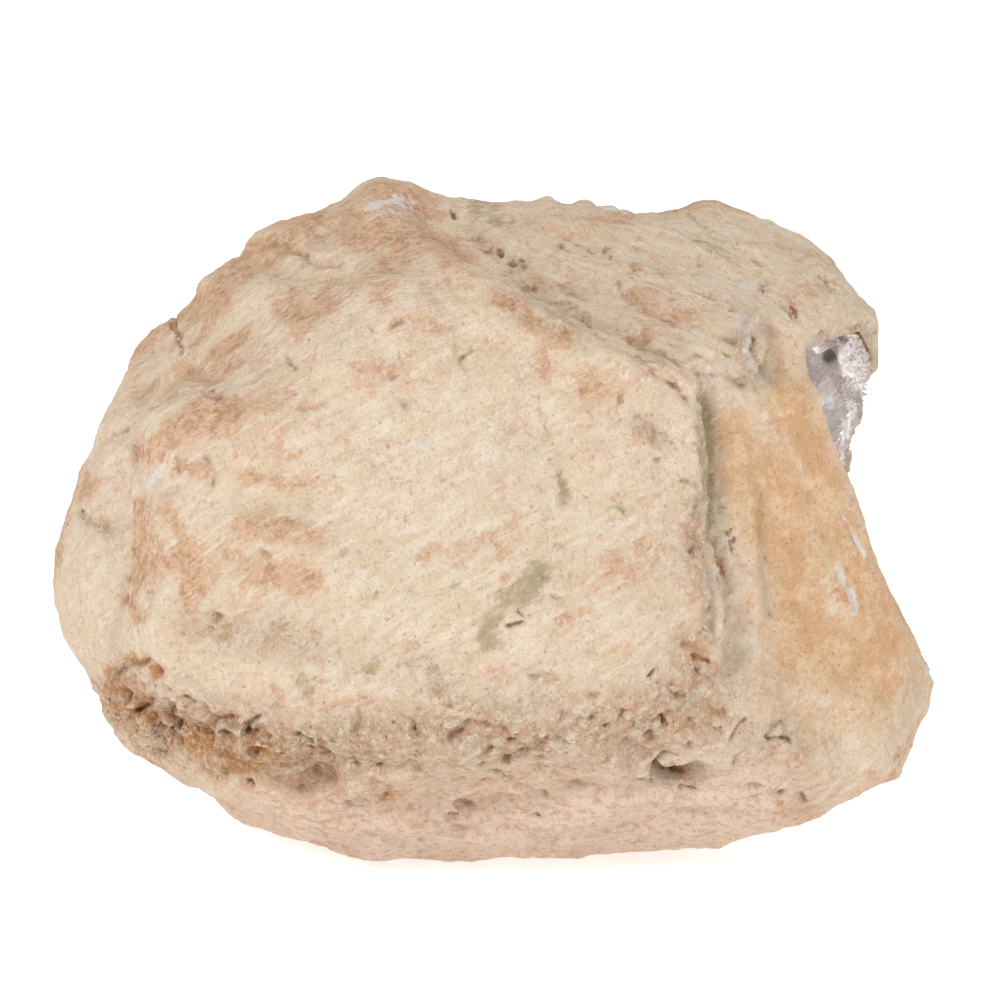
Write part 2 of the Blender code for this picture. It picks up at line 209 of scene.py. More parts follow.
def even_skin(name, node, voxel):
    """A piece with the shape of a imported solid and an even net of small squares."""
    piece = new_piece(name, welded_copy(node))
    remesh = piece.modifiers.new("even skin", "REMESH")
    remesh.mode = "VOXEL"
    remesh.voxel_size = voxel
    settle(piece)
    return piece


def soften(piece, rounds, group=""):
    """Smooths the piece, or only the vertices of a group."""
    smoothing = piece.modifiers.new("soften", "SMOOTH")
    smoothing.factor = 0.5
    smoothing.iterations = rounds
    smoothing.vertex_group = group
    settle(piece)


def thin_out(piece, triangles, evenness):
    """Takes triangles out, most of all where the group "spare" is heavy."""
    fewer = piece.modifiers.new("fewer triangles", "DECIMATE")
    fewer.ratio = triangles / (2 * len(piece.data.polygons))
    fewer.vertex_group = "spare"
    fewer.vertex_group_factor = evenness
    fewer.use_collapse_triangulate = True
    settle(piece)


def places_of(piece):
    """The piece's vertices as rows."""
    rows = np.empty(len(piece.data.vertices) * 3, np.float32)
    piece.data.vertices.foreach_get("co", rows)
    return rows.reshape(-1, 3).astype(float)


def facings_of(piece):
    """The way each vertex faces, as rows."""
    rows = np.empty(len(piece.data.vertices) * 3, np.float32)
    piece.data.vertex_normals.foreach_get("vector", rows)
    return rows.reshape(-1, 3).astype(float)


def put_places(piece, rows):
    """Moves the piece's vertices to these rows."""
    piece.data.vertices.foreach_set("co", rows.astype(np.float32).ravel())
    piece.data.update()


def weigh(piece, name, weights):
    """A vertex group with a weight for each vertex, in steps of a tenth."""
    group = piece.vertex_groups.new(name=name)
    steps = np.round(np.clip(weights, 0, 1) * 10).astype(int)
    for step in range(1, 11):
        group.add(np.flatnonzero(steps == step).tolist(), step / 10, "REPLACE")


def keep_values(piece, name, values):
    """A number for each vertex, which a material can read."""
    attribute = piece.data.attributes.new(name, "FLOAT", "POINT")
    attribute.data.foreach_set("value", values.astype(np.float32))


# %% [markdown]
# ## The rock
#
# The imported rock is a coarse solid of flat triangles. A voxel remesh gives it an even, fine skin,
# and some smoothing takes the edges of the triangles out of it. The relief is then pressed into
# that skin, vertex by vertex.

# %% An even skin
ROCK_VOXEL = 0.00095
ROCK_SOFTENING = 0.0032  # the smoothing reaches about this far

rock = even_skin("rock_shell_finish", "rock_shell", ROCK_VOXEL)
soften(rock, round((ROCK_SOFTENING / ROCK_VOXEL) ** 2))
print("the rock's skin has", len(rock.data.vertices), "vertices")

# %% [markdown]
# Three questions are asked of each vertex. Is it on the wall behind the quartz, where nobody will
# see it? Is it on the broken edge of the shell? Does it look towards the camera, so that the marks
# of the front belong on it?

# %% Where each vertex is
HOLLOW = np.array(frame["record"]["physics"]["openings"][0]["box_m"]).mean(axis=0)
BREAK_WIDTH = 0.018
BREAK_REACH = 0.030


def distance_to(node, points):
    """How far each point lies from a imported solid, and the way to it."""
    mesh = welded_copy(node)
    tree = BVHTree.FromBMesh(mesh)
    mesh.free()
    found = np.array([tree.find_nearest(point)[0] for point in points.tolist()])
    gaps = np.linalg.norm(found - points, axis=1)
    return gaps, (found - points) / np.maximum(gaps, 1e-6)[:, None]


def inwards(points, facings):
    """The cosine between a vertex's facing and the way to the middle of the hollow."""
    ways = HOLLOW - points
    ways /= np.linalg.norm(ways, axis=1)[:, None]
    return np.einsum("ij,ij->i", ways, facings)


def on_break(gap, way, facings):
    """How much of the broken edge of the shell a vertex belongs to."""
    sideways = 1 - np.abs(np.einsum("ij,ij->i", way, facings))
    close = passed(-gap, -BREAK_REACH, -BREAK_WIDTH)
    return passed(sideways, 0.35, 0.65) * passed(facings[:, 0], 0.15, 0.45) * close


def towards_camera(points, facings):
    """How much of the front a vertex belongs to."""
    return passed(facings @ np.array(OUT), -0.08, 0.12)


points = places_of(rock)
facings = facings_of(rock)
lining_gap, lining_way = distance_to("quartz_crust", points)
behind_quartz = passed(inwards(points, facings), -0.10, 0.15) * (lining_gap < 0.004)
broken = on_break(lining_gap, lining_way, facings) * (1 - behind_quartz)
front = towards_camera(points, facings) * (1 - behind_quartz)
print(round(behind_quartz.mean() * 100), "% of the skin is behind the quartz")
print(round(broken.mean() * 100), "% is broken edge")

# %% [markdown]
# ### Marks cut by weather
#
# Every ledge, pit and crack that the front shows is a stroke, written as a row: its half width in
# pixels, its height in millimetres, and then its points in the picture, across and down. Negative
# heights are cut in. Swells are broad and low. The strokes wander a little, so that none looks
# ruled.

# %% Strokes of the relief
RELIEF = {
    "the crown, the left shoulder and the cheek": [
        (12, -1.6, 312, 238, 326, 244, 340, 236), (4, 1.2, 300, 232, 316, 226, 330, 230, 344, 242),
        (5, -2.6, 258, 246, 276, 242, 298, 248, 316, 260, 336, 258),
        (2, -1.8, 175, 310, 175, 324, 178, 342, 183, 352),
        (5, -2.6, 160, 406, 174, 396, 190, 389, 206, 388, 218, 397), (14, 1.4, 172, 420, 200, 412),
        (3, -1.8, 104, 441, 112, 434, 124, 427), (4, -3.2, 80, 510, 84, 516),
        (5, -1, 90, 519, 102, 526),
        (5, -2.2, 137, 446, 138, 470, 136, 500, 131, 535, 130, 570, 122, 600),
        (12, 1, 194, 468, 199, 470), (3.6, -1.3, 203, 452, 209, 462, 212, 473, 209, 482),
        (2, -1.2, 177, 456, 179, 470), (2, -1, 206, 509, 212, 503), (1.6, -1.2, 286, 356, 295, 367),
        (3.4, -1, 302, 410, 318, 405, 325, 402), (4, -0.8, 332, 425, 336, 436),
    ],
    "the ridge and its valley": [
        (3, -2.6, 452, 211, 456, 214), (2.6, -2, 496, 246, 498, 248), (3.2, -2.2, 509, 256, 514, 258),
        (3, -2.2, 521, 261, 525, 262), (1.8, -1.6, 561, 239, 563, 240),
        (9, -3, 470, 228, 498, 254, 522, 272, 544, 292, 576, 314, 606, 334, 640, 356),
        (3, 0.9, 486, 284, 506, 294, 524, 306, 548, 320, 560, 326),
    ],
    "the plateau": [
        (1.6, -1.6, 586, 247, 592, 255, 600, 249, 608, 244, 611, 250, 613, 260),
        (3.2, -1.6, 619, 279, 621, 289, 628, 295, 637, 297),
        (3, -1.8, 690, 214, 704, 224, 716, 235, 725, 240), (3, -1.6, 734, 243, 750, 255, 764, 262),
        (3, -1, 596, 206, 610, 210, 624, 212), (2.5, -0.9, 604, 264, 640, 280, 684, 290, 716, 300),
        (2.5, -0.9, 610, 318, 650, 338, 690, 352, 724, 370), (2.2, -0.8, 640, 318, 690, 330, 730, 356),
        (2.4, -1.6, 632, 272, 636, 268), (2, -1.4, 658, 272, 667, 276), (2.2, -1.6, 731, 310, 736, 308),
        (2, -1.4, 700, 261, 704, 261), (3.4, -2.2, 762, 281, 766, 287),
        (3, -2.4, 788, 306, 793, 313, 797, 321), (2.4, -1.2, 826, 278, 829, 283, 832, 288),
    ],
    "the edge over the fan": [
        (4, 1.8, 757, 318, 747, 330, 746, 350, 751, 365, 758, 380),
        (5, -1, 764, 324, 756, 336, 757, 352, 763, 370),
        (3, 1.5, 688, 364, 706, 361, 724, 366, 742, 374, 757, 381),
        (5, -2, 700, 372, 722, 378, 744, 388), (5, -2.2, 652, 371, 668, 377, 682, 389, 693, 404),
    ],
    "the middle": [
        (2.4, -1.4, 619, 402, 624, 395), (2, -1, 386, 327, 394, 324, 402, 322),
        (2, -1, 370, 325, 373, 330), (2, -1.5, 463, 357, 467, 351, 472, 348),
        (5, -1.3, 452, 342, 458, 354, 464, 366), (1.8, -1.3, 401, 399, 405, 408),
        (15, -1.2, 514, 430, 528, 430), (4, -1, 536, 408, 544, 420, 547, 432, 541, 442, 533, 448),
        (7, -1.6, 557, 466, 561, 480, 565, 498), (3, -0.8, 373, 459, 375, 468, 372, 476),
        (3, -1, 363, 606, 371, 600, 378, 590), (2, -1, 347, 576, 352, 571),
        (2.4, -1.4, 455, 584, 459, 585),
    ],
    "the step": [
        (5, 0.9, 690, 408, 694, 450, 697, 480, 688, 515, 695, 545, 704, 580, 708, 640),
        (9, -1.5, 704, 400, 706, 450, 707, 500, 702, 532, 712, 560, 718, 600, 716, 640),
        (2, -1.2, 679, 480, 688, 483, 697, 485), (2.4, -1, 621, 507, 624, 515),
        (2.6, -0.9, 638, 430, 644, 424, 652, 424, 656, 430), (2, -1.3, 656, 459, 659, 460),
    ],
    "the fan and its strip": [
        (2, -1.6, 727, 532, 731, 535), (2, -1.6, 732, 543, 734, 551), (1.8, -1, 720, 504, 721, 514),
        (2, -1, 723, 560, 724, 576, 728, 592), (1.8, -1.3, 770, 558, 773, 561),
        (2.2, -0.7, 757, 385, 783, 437, 800, 474, 820, 525, 836, 556, 870, 600),
        (1.6, -0.8, 842, 512, 848, 527, 853, 540, 863, 558),
        (4, -0.9, 836, 565, 842, 578, 855, 594, 857, 610),
    ],
    "the olive patch and the pocks": [
        (2.2, -1.5, 509, 625, 516, 625, 522, 624), (12, 1.2, 530, 588, 512, 600, 496, 618),
        (2.4, -1, 541, 573, 544, 577), (2.4, -0.9, 529, 596, 535, 600),
        (2.4, -0.8, 540, 599, 549, 596, 561, 600), (2.6, -1, 518, 611, 523, 618),
        (3, -1.8, 212, 616, 222, 617), (2.4, -1.4, 262, 552, 268, 553), (2.2, -1.5, 152, 593, 149, 616),
    ],
    "the pocket at the lower left": [
        (3.6, -2.2, 112, 682, 121, 669, 134, 664, 148, 661, 158, 673),
        (4, 1.6, 168, 676, 188, 688, 206, 700, 226, 708, 256, 704, 276, 720),
        (4, -2.4, 164, 688, 184, 702, 202, 712, 214, 722), (4.5, -4.2, 133, 713, 142, 708, 149, 701),
        (6, -4.6, 150, 718, 158, 730, 165, 744), (3, -3.4, 171, 706, 173, 718, 176, 730),
        (3, -3.2, 179, 701, 186, 706), (3.2, -3.6, 254, 719, 246, 724, 243, 737),
        (2.6, -2.6, 216, 717, 230, 719), (5, 1.4, 150, 690, 176, 694, 200, 722),
        (2.4, -2.2, 140, 749, 152, 756, 164, 754), (3, -3, 247, 782, 251, 784),
        (2.6, -2.2, 220, 773, 228, 773), (3.4, -3.2, 295, 738, 304, 740, 311, 742),
        (3, 1.2, 284, 732, 300, 732, 316, 740), (4, -2, 300, 678, 305, 688, 308, 700),
    ],
    "the band along the foot": [
        (5, -2.8, 350, 806, 364, 803), (5, -3, 374, 797, 388, 795), (2.6, -2.4, 417, 730, 420, 733),
        (3, -2.4, 508, 741, 513, 740), (2.4, -2.2, 505, 763, 508, 759),
        (3, -1.8, 492, 774, 504, 780, 520, 790, 546, 796), (2.6, -2.2, 448, 818, 459, 816),
        (4, -2.4, 463, 806, 471, 807), (2.2, -2, 536, 820, 540, 821),
        (1.8, -1, 530, 677, 545, 674, 562, 679), (7, -1.6, 520, 752, 540, 758),
        (2.6, -2.6, 662, 718, 665, 725), (5, -5.2, 664, 770, 674, 772, 681, 774),
        (2.4, -2.2, 648, 772, 660, 770), (2.2, -2, 682, 787, 694, 789),
        (1.8, -1.3, 624, 779, 640, 781, 654, 783), (2.6, -1.8, 675, 695, 684, 697),
        (2.6, -1.8, 694, 656, 708, 661), (1.8, -1.6, 650, 677, 657, 670),
    ],
    "the right foot": [
        (2.4, -1.4, 732, 739, 740, 728, 748, 721), (2, -1.8, 733, 764, 737, 757, 741, 750),
        (2.4, -2.2, 768, 736, 773, 741, 782, 738, 792, 741), (2, -1.6, 772, 732, 779, 726, 785, 722),
        (2.4, -1.8, 748, 789, 762, 791), (2.4, -1.6, 780, 796, 785, 793),
        (2.6, -1.6, 801, 794, 805, 800), (8, 1.2, 700, 742, 760, 752),
        (5, 1.2, 560, 790, 620, 796, 700, 800, 770, 806),
    ],
}
SWELLS = [
    (24, 2.6, 165, 428, 204, 412), (13, -2, 152, 388, 182, 370, 216, 372),
    (18, 1.8, 196, 340, 230, 316, 262, 300), (12, -2.2, 262, 264, 300, 272, 344, 274),
    (12, 1.6, 240, 246, 280, 232, 300, 226), (26, 2.2, 296, 326, 330, 346),
    (18, -1.6, 384, 352, 400, 392), (20, 1.8, 440, 262, 500, 304, 560, 340, 620, 368),
    (20, -1.4, 450, 318, 520, 360, 580, 386), (22, -2, 236, 500, 300, 506),
    (12, 1.8, 162, 500, 168, 560, 160, 620), (16, 1.4, 96, 500, 92, 580), (36, 2, 336, 560, 400, 610),
    (26, -1.8, 562, 500, 556, 556), (30, 1.8, 630, 540, 640, 610),
    (20, 2.2, 236, 660, 330, 676, 430, 690), (15, -2.8, 262, 738, 330, 766, 420, 776, 500, 792),
    (16, 2.2, 330, 726, 400, 742, 470, 744), (16, 2.2, 560, 742, 612, 764),
    (14, -2.4, 640, 756, 690, 766), (10, 2, 380, 820, 470, 838, 560, 842),
    (8, 1.8, 560, 262, 620, 270, 690, 290, 730, 300), (8, -2, 566, 288, 620, 300, 690, 322, 734, 340),
    (7, 1.6, 600, 322, 660, 340, 712, 354), (8, 1.6, 540, 222, 600, 226, 660, 236, 720, 258),
    (6, -1.6, 560, 242, 640, 250, 700, 268), (26, -2, 770, 510, 790, 600),
    (10, 1.6, 738, 440, 752, 520, 756, 610), (14, 1.4, 800, 660, 850, 700, 880, 712),
    (18, -2, 800, 720, 840, 744), (9, 1.8, 543, 198, 549, 200), (8, 1.6, 580, 200, 586, 202),
    (7, -2, 626, 208, 632, 210), (8, -1.4, 666, 212, 672, 214), (13, 1.8, 704, 206, 716, 208),
    (8, 1.4, 768, 230, 774, 236), (8, 1.2, 812, 260, 818, 266), (9, 1.6, 262, 236, 270, 232),
    (7, -1.4, 236, 252, 242, 250), (9, 1.4, 200, 288, 206, 284),
]
SWELL_GAIN = 1.35
MARKS = [stroke for group in RELIEF.values() for stroke in group]
MARKS += [(half_width, height * SWELL_GAIN, *path) for half_width, height, *path in SWELLS]
print(len(MARKS), "strokes of relief")

# %% [markdown]
# The skin differs from place to place: smooth and chalky in the middle, crumbly along the foot and
# beside the step, and layered on the plateau and the underside. Each kind has its own noise, and
# a few broad strokes say where it belongs: the second number of these rows is a share, up to 1.

# %% Kinds of unevenness
ZONES = {
    "crumbly": [
        (34, 1, 120, 700, 170, 730, 240, 745, 310, 750, 380, 745),
        (40, 0.8, 380, 740, 460, 735, 540, 735, 620, 730, 690, 715),
        (16, 0.9, 690, 640, 700, 680, 680, 710), (9, 0.8, 690, 500, 692, 545, 704, 590, 708, 640),
        (16, 0.5, 500, 300, 540, 320, 580, 335), (12, 0.6, 640, 428, 656, 440),
        (26, 0.35, 740, 740, 790, 740, 800, 790), (14, 0.5, 745, 330, 750, 368),
        (22, 0.45, 190, 630, 240, 630, 300, 640), (12, 0.5, 90, 520, 108, 530),
    ],
    "layered": [
        (46, 1, 560, 260, 640, 290, 720, 320), (40, 0.9, 660, 240, 760, 280),
        (34, 0.9, 300, 830, 420, 835, 560, 835, 700, 815, 780, 800),
        (30, 0.7, 450, 240, 520, 290, 600, 330),
    ],
    "calm": [
        (90, 1, 400, 470, 480, 500, 430, 560), (60, 0.9, 90, 560, 100, 600),
        (60, 0.9, 780, 470, 820, 600, 830, 690), (40, 0.9, 780, 380, 820, 460, 860, 560),
    ],
}
DIP = math.radians(22)  # the layers slope down to the right
STRATA = np.array(SIDE * math.cos(DIP) - UP * math.sin(DIP))
WANDER = 2.2  # pixels


def wandering(points, loose=0.0):
    """Where the points show in the picture, with some wander for the strokes."""
    places = seen_at(points)
    for axis in range(2):
        places[:, axis] += WANDER * grains(points, 0.0045, 11 + axis)
        if loose:
            places[:, axis] += loose * grains(points, 0.0170, 17 + axis)
    return places


def along(points, way, stretch):
    """The points squeezed along a way, so that grains grow long in that way."""
    return points - np.outer(points @ way, way) * (1 - 1 / stretch)


def crumbliness(points, places, front):
    """How crumbly the skin is: by strokes on the front, in broad patches elsewhere."""
    patches = passed(grains(points, 0.045, 21), 0.0, 0.5)
    return drawn(ZONES["crumbly"], places) * front + 0.35 * (1 - front) * patches


def relief(points, front, behind_quartz, broken):
    """How far each vertex moves out of the plain skin, in millimetres."""
    places = wandering(points)
    cut = np.zeros(len(points))
    for half_width, height, *path in MARKS:
        cut += height * near_path(places, path, half_width)
    crumbly = crumbliness(points, places, front)
    layered = drawn(ZONES["layered"], places) * front + 0.4 * (1 - front)
    calm = drawn(ZONES["calm"], places) * front
    rough = 0.80 * grains(points, 0.0190, 15) + 0.50 * grains(points, 0.0095, 1)
    rough += 0.30 * grains(points, 0.0042, 2)
    rough *= 1 - 0.45 * calm
    rough += 0.15 * grains(points, 0.0022, 3)
    crumbs = 1.60 * (0.55 - cells(points, 0.0064, 4)) + 1.00 * (0.5 - cells(points, 0.0033, 5))
    crumbs += 0.75 * blocks(points, 0.0068, 22) + 0.45 * blocks(points, 0.0034, 23)
    holes = -2.8 * passed(grains(points, 0.0060, 6), 0.46, 0.95)
    layers = 0.95 * grains(along(points, STRATA, 6.0), 0.0046, 7)
    layers += 0.45 * grains(along(points, STRATA, 5.0), 0.0024, 8)
    pocks = -1.3 * passed(grains(points, 0.0052, 9), 0.80, 1.00) * (1 - 0.85 * front)
    splinters = 0.60 * blocks(points, 0.0060, 10) + 0.30 * grains(points, 0.0026, 13)
    skin = cut * front + rough + crumbly * (crumbs + holes) + layered * layers + pocks
    skin += 0.5 * (1 - front) * grains(points, 0.0140, 14)
    return skin * (1 - broken) * (1 - behind_quartz) + broken * (splinters + rough)


FAR_RIM = [(866, 356), (868, 392), (862, 418), (858, 444), (850, 468)]
FAR_RIM_REACH = 9
FAR_RIM_PUSH = 0.0035
MILLIMETRE = 0.001
HIGHEST = 3.0  # millimetres
SUNK = 0.35  # millimetres that the whole skin goes in, so that its lumps stay in the box
FLAT = (0.0003, 0.0030)  # the relief fades out between these heights above the ground
GROUND = 0.0005  # what is lower than this is put flat on the ground
SPARE = 0.0001  # the skin stays this far inside the box
moves = relief(points, front, behind_quartz, broken)
moves = np.minimum(moves, HIGHEST) - SUNK
moves *= passed(points[:, 2], *FLAT)
points += facings * (moves * MILLIMETRE)[:, None]
far = near_path(seen_at(points), FAR_RIM, FAR_RIM_REACH) * passed(points[:, 1], 0.0, 0.03)
points[:, 0] += FAR_RIM_PUSH * far * passed(facings[:, 0], 0.1, 0.5) * (1 - behind_quartz)
points[:, 2] = np.where(points[:, 2] < GROUND, 0.0, points[:, 2])
put_places(rock, inside_box(points, SPARE))
print("the relief goes from", round(moves.min(), 1), "to", round(moves.max(), 1), "mm")

# %% [markdown]
# The fine skin has far more triangles than a library part should. A Decimate modifier takes them
# out, most of all behind the quartz, and fewest on the front.

# %% Fewer triangles where nobody looks
ROCK_TRIANGLES = 190000
BY_SHAPE = 1e-6  # so little that the flattest edges still go first
weigh(rock, "spare", 0.95 * behind_quartz + (1 - behind_quartz) * (0.8 - 0.4 * front))
thin_out(rock, ROCK_TRIANGLES, BY_SHAPE)
rock.data.shade_smooth()
print("the rock has", len(rock.data.polygons), "triangles")
